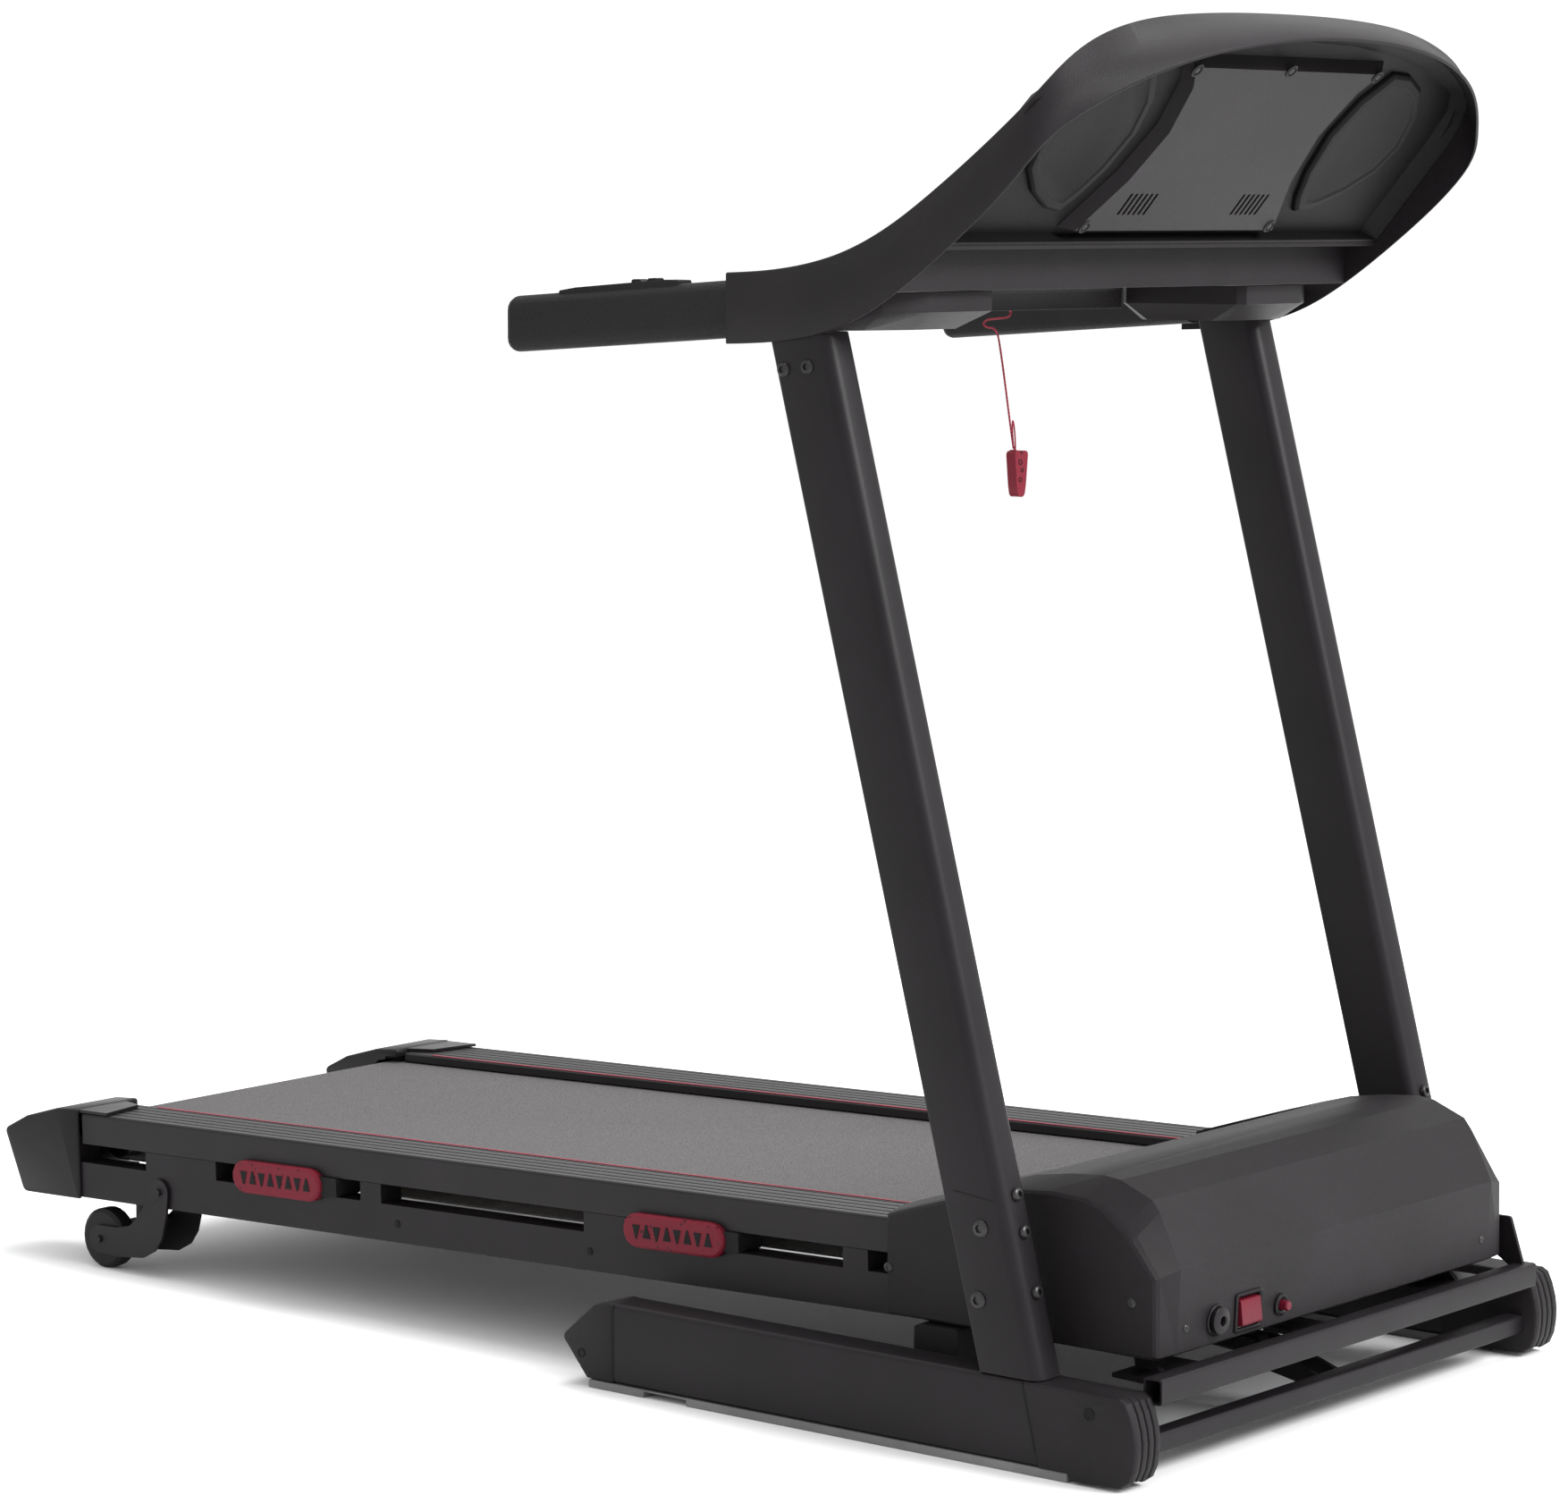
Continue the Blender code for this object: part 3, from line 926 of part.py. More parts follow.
def hood_fittings(fold):
    """The power rocker, the resettable cut-out's button and the mains inlet."""
    rocker = fillet([(-0.4600, 0.1160, 0.002), (-0.4420, 0.1140, 0.002), (-0.4420, 0.1415, 0.002),
                     (-0.4575, 0.1395, 0.002)])
    piece("power_switch", prism(rocker, "X", -0.1682, -0.1362), RED_PLASTIC, fold,
          pivot=(0, -0.4500, 0.1278))
    button = [(0.0048, -0.4400), (0.0048, -0.4625), (0.0040, -0.4640)]
    piece("reset_button", turned(button, "Y", (-0.0990, 0.1240), 14), RED_PLASTIC, fold,
          pivot=(-0.0990, -0.4600, 0.1240))
    inlet = [(0.0090, -0.4380), (0.0090, -0.4568), (0.0130, -0.4572), (0.0130, -0.4610), (0.0070, -0.4625)]
    socket = piece("power_inlet", turned(inlet, "Y", (-0.2030, 0.1275), 16), BLACK_PLASTIC, fold)
    cut(socket, prism(arc((-0.2030, 0.1275), 0.0045, 0, 330, 11), "Y", -0.47, -0.4480))


def rear_feet(fold):
    """J-shaped feet that pivot on the deck's frame, with a rubber stop and a wheel in the toe."""
    py, pz = FOOT_PIVOT
    wy, wz = FOOT_WHEEL
    outer_line = (arc((py, pz), 0.0140, 20, 190, 8)
                  + [(0.8215, 0.0720), (0.8290, 0.0450), (0.8400, 0.0300), (0.8580, 0.0205), (0.8960, 0.0165)]
                  + arc((wy, wz), 0.0150, -95, 85, 8)
                  + [(0.8980, 0.0480), (0.8780, 0.0525), (0.8650, 0.0640), (0.8550, 0.0780)])
    pin = arc((py, pz), 0.0042, 0, 330, 11)
    axle = arc((wy, wz), 0.0040, 0, 330, 11)
    stop_y, stop_low = 0.8800, 0.0500
    stop_top = DECK_ZERO_Z + FRAME_LOW - stop_y * math.tan(DECK_TILT) - 0.0010
    web = [(0.8660, 0.0600), (0.8780, 0.0505), (0.8860, 0.0490), (0.8860, 0.0450), (0.8740, 0.0450),
           (0.8630, 0.0560)]
    for side, mirrored in SIDES:
        plates = [(FOOT_X - 0.0270, FOOT_X - 0.0240), (FOOT_X + 0.0242, FOOT_X + 0.0272)]
        foot = piece("rear_foot_" + side, sided(prism(outer_line, "X", *plates[1]), mirrored),
                     BLACK_PAINT, fold, pivot=None)
        fuse(foot, sided(prism(outer_line, "X", *plates[0]), mirrored))
        fuse(foot, sided(prism(web, "X", plates[0][0] + 0.001, plates[1][1] - 0.001), mirrored))
        fuse(foot, sided(prism(pin, "X", plates[0][0] + 0.001, plates[1][1] + 0.003), mirrored))
        fuse(foot, sided(prism(axle, "X", plates[0][0] + 0.001, plates[1][1] + 0.003), mirrored))
        stop = [(0.0085, stop_low - 0.0030), (0.0085, stop_top)]
        fuse(foot, sided(turned(stop, "Z", (FOOT_X + 0.004, stop_y), 14), mirrored))


def foot_wheels(fold):
    r = FOOT_WHEEL_R
    low_x, high_x = FOOT_X - 0.0020, FOOT_X + 0.0235
    outline = [(0.0043, low_x), (0.0120, low_x), (0.0120, low_x + 0.002), (r - 0.004, low_x + 0.003),
               (r, low_x + 0.006), (r, high_x - 0.004), (r - 0.004, high_x - 0.001), (0.0120, high_x - 0.001),
               (0.0120, high_x), (0.0043, high_x)]
    for side, mirrored in SIDES:
        piece("foot_wheel_" + side, sided(ring(outline, "X", FOOT_WHEEL), mirrored), BLACK_RUBBER,
              fold, pivot=(0, *FOOT_WHEEL))


def strut(layout):
    """The gas strut that holds the folded deck: its body turns on the base, its rod slides."""
    run = STRUT_DECK - STRUT_BASE
    length = run.length
    axis = anchor("strut_axis", layout, (0, *STRUT_BASE), math.atan2(run.y, run.x))
    body = [(0.0040, 0.0125), (0.0105, 0.0130), (0.0105, 0.0200), (0.0110, 0.0220), (0.0110, 0.3550),
            (0.0090, 0.3580)]
    cylinder = piece("strut_cylinder", turned(body, "Y", (0, 0), 16), BLACK_PAINT, axis)
    eye = arc((0, 0), 0.0130, 0, 337.5, 15)
    fuse(cylinder, prism(eye, "X", -0.0080, 0.0080))
    cut(cylinder, prism(arc((0, 0), 0.0052, 0, 330, 11), "X", -0.02, 0.02))
    cut(cylinder, turned([(0.0048, 0.1500), (0.0048, 0.40)], "Y", (0, 0), 12))
    rod = [(0.0043, 0.1650), (0.0043, length - 0.0100)]
    stem = piece("strut_rod", turned(rod, "Y", (0, 0), 12), STEEL, axis)
    fuse(stem, prism(arc((length, 0), 0.0110, 0, 337.5, 15), "X", -0.0070, 0.0070))


def build():
    for obj in list(bpy.data.objects):
        bpy.data.objects.remove(obj, do_unlink=True)
    layout = anchor("layout", None, (0, LAYOUT_SHIFT, 0))
    deck = anchor("deck_slope", layout, (0, 0, DECK_ZERO_Z), -DECK_TILT)
    base_rails(layout)
    base_front_caps(layout)
    transport_wheels(layout)
    base_rear_caps(layout)
    foot_strips(layout)
    base_cross_members(layout)
    deck_rests(layout)
    uprights(layout)
    console_shell(layout)
    console_covers(layout)
    console_keys(layout)
    safety_key(layout)
    console_crossbar(layout)
    cup_trays(layout)
    handlebars(layout)
    handlebar_keys(layout)
    safety_cord(layout)
    safety_clip(layout)
    deck_frames(deck)
    deck_cross_members(deck)
    running_board(deck)
    walking_belt(deck)
    rollers(deck)
    drive(deck)
    foot_rails(deck)
    cushions(deck)
    end_caps(deck)
    motor_hood(layout)
    hood_fittings(layout)
    rear_feet(layout)
    foot_wheels(layout)
    strut(layout)


build()
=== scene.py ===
"""The treadmill's looks: materials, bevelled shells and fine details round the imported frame."""
import json
import math

import bmesh
import bpy
from mathutils import Matrix, Vector


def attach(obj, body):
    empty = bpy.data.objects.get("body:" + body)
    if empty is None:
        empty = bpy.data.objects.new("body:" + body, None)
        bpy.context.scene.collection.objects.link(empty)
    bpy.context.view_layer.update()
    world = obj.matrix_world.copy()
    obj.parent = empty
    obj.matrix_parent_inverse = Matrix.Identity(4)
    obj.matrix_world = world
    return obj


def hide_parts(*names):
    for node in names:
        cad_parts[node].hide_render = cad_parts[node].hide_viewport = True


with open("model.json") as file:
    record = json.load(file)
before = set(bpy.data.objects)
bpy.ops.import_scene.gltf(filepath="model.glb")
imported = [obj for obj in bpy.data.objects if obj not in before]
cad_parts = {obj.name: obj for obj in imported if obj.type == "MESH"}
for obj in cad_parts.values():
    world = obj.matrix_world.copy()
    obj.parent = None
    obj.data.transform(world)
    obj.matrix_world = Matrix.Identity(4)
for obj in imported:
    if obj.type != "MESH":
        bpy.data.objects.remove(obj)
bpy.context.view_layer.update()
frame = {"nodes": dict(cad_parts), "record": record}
NODES = frame["nodes"]
BODY_OF = {n: b for b, ns in frame["record"]["behaviour"]["bodies"].items() for n in ns}
SHIFT = -0.2995                       # from the layout's zero to the row's, along y
TILT = math.radians(1.552)            # the deck's slope
DECK_Z = 0.1902                       # height of the deck's own zero
OUTER = 0.3600                        # outer faces of the uprights and base rails
UPRIGHT_FOOT = (-0.3047, 0.0896)      # rear edge of an upright where it meets its rail
UPRIGHT_LEAN = math.radians(14.82)
UPRIGHT_DEPTH = 0.0680
SIDES = (("left", 1.0), ("right", -1.0))

# ---------------------------------------------------------------- camera
CAMERA_AT = (-3.8251, -3.234, 1.1186)
FOCAL_MM, SENSOR_MM = 113.53546, 36.0
YAW, PITCH = math.radians(39.4885), math.radians(-6.6226)
camera_data = bpy.data.cameras.new("camera")
camera_data.sensor_fit = "HORIZONTAL"
camera_data.sensor_width = SENSOR_MM
camera_data.lens = FOCAL_MM
camera_data.shift_x = -0.00017
camera_data.shift_y = 0.0254
camera_data.clip_end = 60.0
camera = bpy.data.objects.new("camera", camera_data)
bpy.context.scene.collection.objects.link(camera)
forward = Vector((math.cos(PITCH) * math.cos(YAW), math.cos(PITCH) * math.sin(YAW), math.sin(PITCH)))
right = Vector((math.sin(YAW), -math.cos(YAW), 0.0))
up = right.cross(forward)
facing = Matrix((right, up, -forward)).transposed().to_4x4()
camera.matrix_world = Matrix.Translation(CAMERA_AT) @ facing
bpy.context.scene.camera = camera


# ---------------------------------------------------------------- materials
SHEEN = 0.16                          # usual strength of the surface reflection


def shader(name, base, rough, metallic=0.0, spec=SHEEN):
    """A Principled material, its node tree and its main node."""
    mat = bpy.data.materials.new(name)
    mat.use_nodes = True
    tree = mat.node_tree
    main = tree.nodes["Principled BSDF"]
    main.inputs["Base Color"].default_value = (*base, 1.0)
    main.inputs["Roughness"].default_value = rough
    main.inputs["Metallic"].default_value = metallic
    main.inputs["Specular IOR Level"].default_value = spec
    return mat, tree, main


def node(tree, kind, **settings):
    """A new node: in_Name sets the input of that name, anything else is an attribute."""
    made = tree.nodes.new(kind)
    for key, value in settings.items():
        if key.startswith("in_"):
            made.inputs[key[3:].replace("_", " ")].default_value = value
        else:
            setattr(made, key, value)
    return made


def ramp(tree, source, stops):
    """A colour ramp over source; each stop is (place, colour)."""
    made = tree.nodes.new("ShaderNodeValToRGB")
    for element, (at, colour) in zip(made.color_ramp.elements, stops):
        element.position = at
        element.color = (*colour, 1.0)
    tree.links.new(source, made.inputs["Fac"])
    return made


VARY, SWING = 0.18, 0.08              # how far a surface's colour and gloss wander


def surface(name, base, rough, grain, bump, metallic=0.0, spec=SHEEN, cells=False):
    """A moulded or coated surface: fine grain in the bump, broad and fine change in colour and gloss."""
    mat, tree, main = shader(name, base, rough, metallic, spec)
    where = node(tree, "ShaderNodeTexCoord").outputs["Object"]
    broad = node(tree, "ShaderNodeTexNoise", in_Scale=9.0, in_Detail=5.0, in_Roughness=0.6)
    tree.links.new(where, broad.inputs["Vector"])
    if cells:
        fine = node(tree, "ShaderNodeTexVoronoi", in_Scale=grain)
        height = fine.outputs["Distance"]
    else:
        fine = node(tree, "ShaderNodeTexNoise", in_Scale=grain, in_Detail=3.0)
        height = fine.outputs["Fac"]
    tree.links.new(where, fine.inputs["Vector"])
    dark = tuple(c * (1.0 - VARY) for c in base)
    light = tuple(c * (1.0 + VARY) for c in base)
    tint = ramp(tree, broad.outputs["Fac"], [(0.30, dark), (0.70, light)])
    tree.links.new(tint.outputs["Color"], main.inputs["Base Color"])
    low, high = max(rough - SWING, 0.0), min(rough + SWING, 1.0)
    gloss = ramp(tree, height, [(0.25, (low,) * 3), (0.75, (high,) * 3)])
    tree.links.new(gloss.outputs["Color"], main.inputs["Roughness"])
    relief = node(tree, "ShaderNodeBump", in_Strength=bump, in_Distance=0.0004)
    tree.links.new(height, relief.inputs["Height"])
    tree.links.new(relief.outputs["Normal"], main.inputs["Normal"])
    return mat


def speckled(name, base, spots, scale, share, rough, bump):
    """Moulded rubber with darker flecks."""
    mat, tree, main = shader(name, base, rough)
    where = node(tree, "ShaderNodeTexCoord").outputs["Object"]
    fleck = node(tree, "ShaderNodeTexVoronoi", in_Scale=scale)
    warp = node(tree, "ShaderNodeTexNoise", in_Scale=scale * 0.8, in_Detail=4.0)
    tree.links.new(where, fleck.inputs["Vector"])
    tree.links.new(where, warp.inputs["Vector"])
    mix = node(tree, "ShaderNodeMath", operation="MULTIPLY")
    tree.links.new(fleck.outputs["Distance"], mix.inputs[0])
    tree.links.new(warp.outputs["Fac"], mix.inputs[1])
    tint = ramp(tree, mix.outputs[0], [(share * 0.7, spots), (share, base)])
    tree.links.new(tint.outputs["Color"], main.inputs["Base Color"])
    relief = node(tree, "ShaderNodeBump", in_Strength=bump, in_Distance=0.0005)
    tree.links.new(mix.outputs[0], relief.inputs["Height"])
    tree.links.new(relief.outputs["Normal"], main.inputs["Normal"])
    return mat


def brushed(name, base, rough):
    """Turned metal with fine lines along x."""
    mat, tree, main = shader(name, base, rough, 1.0)
    where = node(tree, "ShaderNodeTexCoord").outputs["Object"]
    stretch = node(tree, "ShaderNodeMapping", in_Scale=(30.0, 900.0, 900.0))
    tree.links.new(where, stretch.inputs["Vector"])
    lines = node(tree, "ShaderNodeTexNoise", in_Scale=1.0, in_Detail=3.0)
    tree.links.new(stretch.outputs["Vector"], lines.inputs["Vector"])
    gloss = ramp(tree, lines.outputs["Fac"], [(0.3, (rough * 0.7,) * 3), (0.7, (rough * 1.4,) * 3)])
    tree.links.new(gloss.outputs["Color"], main.inputs["Roughness"])
    return mat


def woven(name, base, dark):
    """Twisted thread: slanting strands round the cord."""
    mat, tree, main = shader(name, base, 0.75)
    where = node(tree, "ShaderNodeTexCoord").outputs["Object"]
    strands = node(tree, "ShaderNodeTexWave", in_Scale=210.0, in_Distortion=1.5)
    strands.bands_direction = "DIAGONAL"
    tree.links.new(where, strands.inputs["Vector"])
    tint = ramp(tree, strands.outputs["Fac"], [(0.2, dark), (0.7, base)])
    tree.links.new(tint.outputs["Color"], main.inputs["Base Color"])
    relief = node(tree, "ShaderNodeBump", in_Strength=0.6, in_Distance=0.0004)
    tree.links.new(strands.outputs["Fac"], relief.inputs["Height"])
    tree.links.new(relief.outputs["Normal"], main.inputs["Normal"])
    return mat


MOULDED_BLACK = (0.0095, 0.0081, 0.0092)
PAINT = surface("coated_steel", (0.0088, 0.0074, 0.0086), 0.42, 1400.0, 0.25)
PLASTIC = surface("moulded_plastic", MOULDED_BLACK, 0.50, 1700.0, 0.45, cells=True)
CONSOLE = surface("console_plastic", MOULDED_BLACK, 0.46, 1500.0, 0.35, cells=True)
# painted shade: a darker copy of the console plastic, for the pan and the leaf panels where shade falls
SHADE = surface("console_inside_painted_shade", (0.0042, 0.0038, 0.0041), 0.55, 1500.0, 0.35, spec=0.12, cells=True)
SATIN = surface("satin_plastic", (0.0085, 0.0074, 0.0084), 0.34, 1100.0, 0.12)
RAIL = surface("rail_plastic", (0.0125, 0.0110, 0.0122), 0.40, 1500.0, 0.35)
RUBBER = surface("black_rubber", (0.0080, 0.0078, 0.0080), 0.68, 900.0, 0.5)
GRIP = surface("grip_foam", (0.0095, 0.0090, 0.0094), 0.62, 700.0, 0.7, cells=True)
TREAD = surface("wheel_rubber", (0.0075, 0.0073, 0.0075), 0.55, 800.0, 0.4)
SOLE = surface("grey_rubber", (0.150, 0.148, 0.150), 0.72, 600.0, 0.5)
# near-black for seams, plugs and the clip's bosses, and painted shade in the pad hollows, holes, pocket
# floors and speaker slots
SHADE_AND_BLACK = surface("painted_shade_and_black", (0.0035, 0.0034, 0.0035), 0.60, 900.0, 0.3)
BELT = speckled("belt_rubber", (0.098, 0.094, 0.096), (0.050, 0.047, 0.048), 620.0, 0.22, 0.80, 0.8)
PAD = speckled("pad_rubber", (0.125, 0.0070, 0.0165), (0.030, 0.004, 0.007), 130.0, 0.10, 0.50, 0.7)
RED = surface("red_plastic", (0.150, 0.0090, 0.0200), 0.36, 900.0, 0.2)
ROCKER = surface("rocker_plastic", (0.105, 0.0060, 0.0150), 0.35, 500.0, 0.05)
CORD = woven("cord_weave", (0.290, 0.030, 0.050), (0.110, 0.012, 0.020))
STEEL = brushed("turned_steel", (0.52, 0.52, 0.53), 0.28)
ZINC = surface("zinc_screw", (0.040, 0.039, 0.040), 0.34, 700.0, 0.2, metallic=0.7)
BOARD = surface("coated_board", (0.070, 0.055, 0.040), 0.55, 400.0, 0.3)
STRIPE = surface("red_stripe", (0.190, 0.010, 0.026), 0.45, 900.0, 0.2)
LENS = surface("display_lens", (0.004, 0.0045, 0.006), 0.08, 300.0, 0.02, spec=0.7)
MARK = surface("pale_print", (0.330, 0.330, 0.335), 0.50, 900.0, 0.1)
PALE = surface("belt_backing", (0.60, 0.60, 0.60), 0.70, 500.0, 0.4)

LOOKS = {
    "base_rail": PAINT, "base_front_cap": PLASTIC, "base_rear_cap": PLASTIC, "foot_strip": SOLE,
    "base_hinge_beam": PAINT, "base_lower_tube": PAINT, "deck_rest": RUBBER, "upright": PAINT,
    "transport_wheel": TREAD, "console_face": SATIN, "console_back_cover": CONSOLE,
    "console_crossbar": PAINT, "start_key": RUBBER, "stop_key": RED,
    "safety_key": RED, "cup_tray": CONSOLE, "handlebar_key": SATIN, "handlebar": GRIP,
    "safety_clip": RED, "deck_frame": PAINT, "deck_crossbar": PAINT, "motor_tray": PAINT,
    "running_board": BOARD, "walking_belt": BELT, "front_roller": STEEL, "rear_roller": STEEL,
    "drive_motor": PAINT, "motor_flywheel": STEEL, "drive_belt": RUBBER, "foot_rail": RAIL,
    "cushion": PAD, "end_cap": SATIN, "motor_hood": PLASTIC, "power_switch": ROCKER,
    "reset_button": ROCKER, "power_inlet": SATIN, "rear_foot": PAINT, "foot_wheel": TREAD,
    "strut_cylinder": PAINT, "strut_rod": STEEL,
}


def entry_for(name, table):
    """The table's entry for the longest key that starts name, or None."""
    keys = [key for key in table if name.startswith(key)]
    return table[max(keys, key=len)] if keys else None


# ---------------------------------------------------------------- mesh helpers
SUNK = 0.0004                         # how deep an applied piece's foot is sunk


def place(name, bm, look, body, bevel=0.0, smooth=40.0):
    """A finished piece: bevelled, smoothed by angle, riding on its body."""
    mesh = bpy.data.meshes.new(name)
    bmesh.ops.recalc_face_normals(bm, faces=bm.faces)
    bm.to_mesh(mesh)
    bm.free()
    obj = bpy.data.objects.new(name, mesh)
    bpy.context.scene.collection.objects.link(obj)
    mesh.materials.append(look)
    mesh.shade_smooth()
    mesh.set_sharp_from_angle(angle=math.radians(smooth))
    if bevel:
        mod = obj.modifiers.new("edges", "BEVEL")
        mod.width = bevel
        mod.segments = 2
        mod.limit_method = "ANGLE"
        mod.angle_limit = math.radians(30.0)
        mod.use_clamp_overlap = True
        mod.harden_normals = True
    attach(obj, body)
    return obj


def refined(name, bevel, smooth):
    """The CAD solid's own shape with its flat faces whole again and its edges softened."""
    bm = bmesh.new()
    bm.from_mesh(NODES[name].data)
    bmesh.ops.remove_doubles(bm, verts=bm.verts, dist=0.00002)
    bmesh.ops.dissolve_limit(bm, angle_limit=math.radians(1.0), verts=bm.verts, edges=bm.edges)
    obj = place(name + "_skin", bm, entry_for(name, LOOKS), BODY_OF[name], bevel, smooth)
    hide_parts(name)
    return obj


def loft(loops, closed=False):
    """A skin over loops of equal length; closed joins the last to the first, else both ends are capped."""
    bm = bmesh.new()
    rings = [[bm.verts.new(p) for p in loop] for loop in loops]
    pairs = list(zip(rings, rings[1:])) + ([(rings[-1], rings[0])] if closed else [])
    for low, high in pairs:
        for i in range(len(low)):
            j = (i + 1) % len(low)
            bm.faces.new((low[i], low[j], high[j], high[i]))
    if not closed:
        bm.faces.new(list(reversed(rings[0])))
        bm.faces.new(rings[-1])
    return bm


def arc(a, b, radius, start, end, steps):
    """Points round (a, b), from the start angle to the end angle in degrees."""
    return [(a + radius * math.cos(math.radians(start + (end - start) * i / steps)),
             b + radius * math.sin(math.radians(start + (end - start) * i / steps)))
            for i in range(steps + 1)]


def disc(radius, count=20):
    return [(radius * math.cos(2 * math.pi * i / count), radius * math.sin(2 * math.pi * i / count))
            for i in range(count)]


def frame_at(centre, out):
    """Two directions across a face, for a piece that stands out of it."""
    out = Vector(out).normalized()
    side = Vector((0, 0, 1)).cross(out)
    side = side.normalized() if side.length > 0.05 else Vector((1, 0, 0))
    return Vector(centre), side, out.cross(side), out


def turned(name, centre, out, profile, look, body, count=24, smooth=35.0):
    """Turned about the direction out: profile is (radius, how far out)."""
    c, side, rise, out = frame_at(centre, out)
    loops = [[c + side * x + rise * y + out * h for x, y in disc(r, count)] for r, h in profile]
    return place(name, loft(loops), look, body, smooth=smooth)


def screw(name, centre, out, radius, body, h, slot="hex"):
    """A button-head screw, h high, with a socket."""
    c, side, rise, out = frame_at(centre, out)
    rows = [(radius, -SUNK), (radius, h * 0.35), (radius * 0.86, h * 0.8), (radius * 0.55, h)]
    loops = [[c + side * x + rise * y + out * d for x, y in disc(r, 24)] for r, d in rows]
    for r, d in ((radius * 0.50, h), (radius * 0.46, h * 0.35)):
        ring = []
        for i in range(24):
            angle = 2 * math.pi * i / 24
            if slot == "hex":
                reach = r * math.cos(math.pi / 6) / math.cos((angle % (math.pi / 3)) - math.pi / 6)
            else:
                reach = r * (1.0 if i % 6 in (0, 1, 5) else 0.42)
            ring.append(c + (side * math.cos(angle) + rise * math.sin(angle)) * reach + out * d)
        loops.append(ring)
    return place(name, loft(loops), ZINC, body, smooth=30.0)


def ribbon(name, points, half, lift, look, body, across):
    """A thin strip along points, half wide each way along across, lifted off its base."""
    across = Vector(across).normalized()
    loops = []
    for i, p in enumerate(points):
        p = Vector(p)
        run = (Vector(points[min(i + 1, len(points) - 1)]) - Vector(points[max(i - 1, 0)])).normalized()
        out = across.cross(run).normalized()
        loops.append([p - across * half - out * SUNK, p + across * half - out * SUNK,
                      p + across * half + out * lift, p - across * half + out * lift])
    return place(name, loft(loops), look, body)


def slab(name, outline, mapped, low, high, look, body, bevel=0.0):
    """A flat piece: outline is 2-D, mapped(a, b, out) gives its place."""
    return place(name, loft([[mapped(a, b, low) for a, b in outline],
                             [mapped(a, b, high) for a, b in outline]]), look, body, bevel)


def collar(name, outer_line, inner_line, mapped, high, look, body):
    """A raised ring between two outlines of equal length."""
    crest = [mapped((a + c) * 0.5, (b + d) * 0.5, high) for (a, b), (c, d) in zip(outer_line, inner_line)]
    loops = [[mapped(a, b, -SUNK) for a, b in outer_line], [mapped(a, b, high * 0.6) for a, b in outer_line],
             crest,
             [mapped(a, b, high * 0.5) for a, b in inner_line], [mapped(a, b, -SUNK) for a, b in inner_line]]
    return place(name, loft(loops, closed=True), look, body, smooth=30.0)


def rounded(a0, a1, b0, b1, r, steps=4):
    """A rectangle's outline with rounded corners."""
    return (arc(a1 - r, b1 - r, r, 0, 90, steps) + arc(a0 + r, b1 - r, r, 90, 180, steps)
            + arc(a0 + r, b0 + r, r, 180, 270, steps) + arc(a1 - r, b0 + r, r, 270, 360, steps))


def deck_point(x, y, z):
    """A point given along the deck's slope, in the row's frame."""
    return Vector((x, y * math.cos(TILT) + z * math.sin(TILT) + SHIFT,
                   -y * math.sin(TILT) + z * math.cos(TILT) + DECK_Z))


CONSOLE_TILT = math.radians(48.8)
CONSOLE_AT = Vector((0.0, -0.352 + SHIFT, 1.215))


def console_point(x, rise, out):
    """A point across, up the console's slope and out of its face."""
    return CONSOLE_AT + Vector((x, -math.cos(CONSOLE_TILT) * rise + math.sin(CONSOLE_TILT) * out,
                                math.sin(CONSOLE_TILT) * rise + math.cos(CONSOLE_TILT) * out))


def row(x, y, z):
    """A layout point in the row's frame."""
    return Vector((x, y + SHIFT, z))


# ---------------------------------------------------------------- the safety cord
CORD_ROUTE = [(0.0000, -0.2396, 1.1606), (0.0010, -0.2290, 1.1690), (0.0040, -0.2120, 1.1660),
              (0.0080, -0.1990, 1.1460), (0.0100, -0.1900, 1.1180), (0.0100, -0.1780, 1.0930),
              (0.0100, -0.1560, 1.0800), (0.0100, -0.1200, 1.0700), (0.0110, -0.0850, 1.0610),
              (0.0130, -0.0590, 1.0545), (0.0160, -0.0465, 1.0460), (0.0200, -0.0450, 1.0350),
              (0.0240, -0.0450, 1.0270), (0.0265, -0.0450, 1.0220), (0.0210, -0.0450, 1.0185),
              (0.0050, -0.0450, 1.0175), (-0.0100, -0.0450, 1.0165), (-0.0170, -0.0450, 1.0130),
              (-0.0110, -0.0450, 1.0095), (-0.0010, -0.0450, 1.0080), (0.0060, -0.0450, 1.0010),
              (0.0120, -0.0450, 0.9800), (0.0180, -0.0450, 0.9540), (0.0250, -0.0450, 0.9220),
              (0.0320, -0.0450, 0.8915)]


def smooth_line(points, per_span):
    """A Catmull-Rom curve through points."""
    pts = [Vector(p) for p in points]
    pts = [pts[0] * 2 - pts[1]] + pts + [pts[-1] * 2 - pts[-2]]
    line = []
    for a, b, c, d in zip(pts, pts[1:], pts[2:], pts[3:]):
        for k in range(per_span):
            t = k / per_span
            line.append(0.5 * ((2 * b) + (c - a) * t + (2 * a - 5 * b + 4 * c - d) * t * t
                               + (3 * b - a - 3 * c + d) * t ** 3))
    line.append(pts[-2])
    return line


def wire(name, points, radius, look, body, cyclic=False):
    """A round strand along points."""
    data = bpy.data.curves.new(name, "CURVE")
    data.dimensions = "3D"
    data.bevel_depth = radius
    data.bevel_resolution = 4
    data.use_fill_caps = True
    spline = data.splines.new("POLY")
    spline.points.add(len(points) - 1)
    for spot, point in zip(spline.points, points):
        spot.co = (*point, 1.0)
    spline.use_cyclic_u = cyclic
    data.materials.append(look)
    obj = bpy.data.objects.new(name, data)
    bpy.context.scene.collection.objects.link(obj)
    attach(obj, body)
    return obj


CORD_RADIUS = 0.001
cord_line = [row(*p) for p in smooth_line(CORD_ROUTE, 4)]
cord = wire("cord", cord_line, CORD_RADIUS, CORD, "safety_key")
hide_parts("safety_cord")

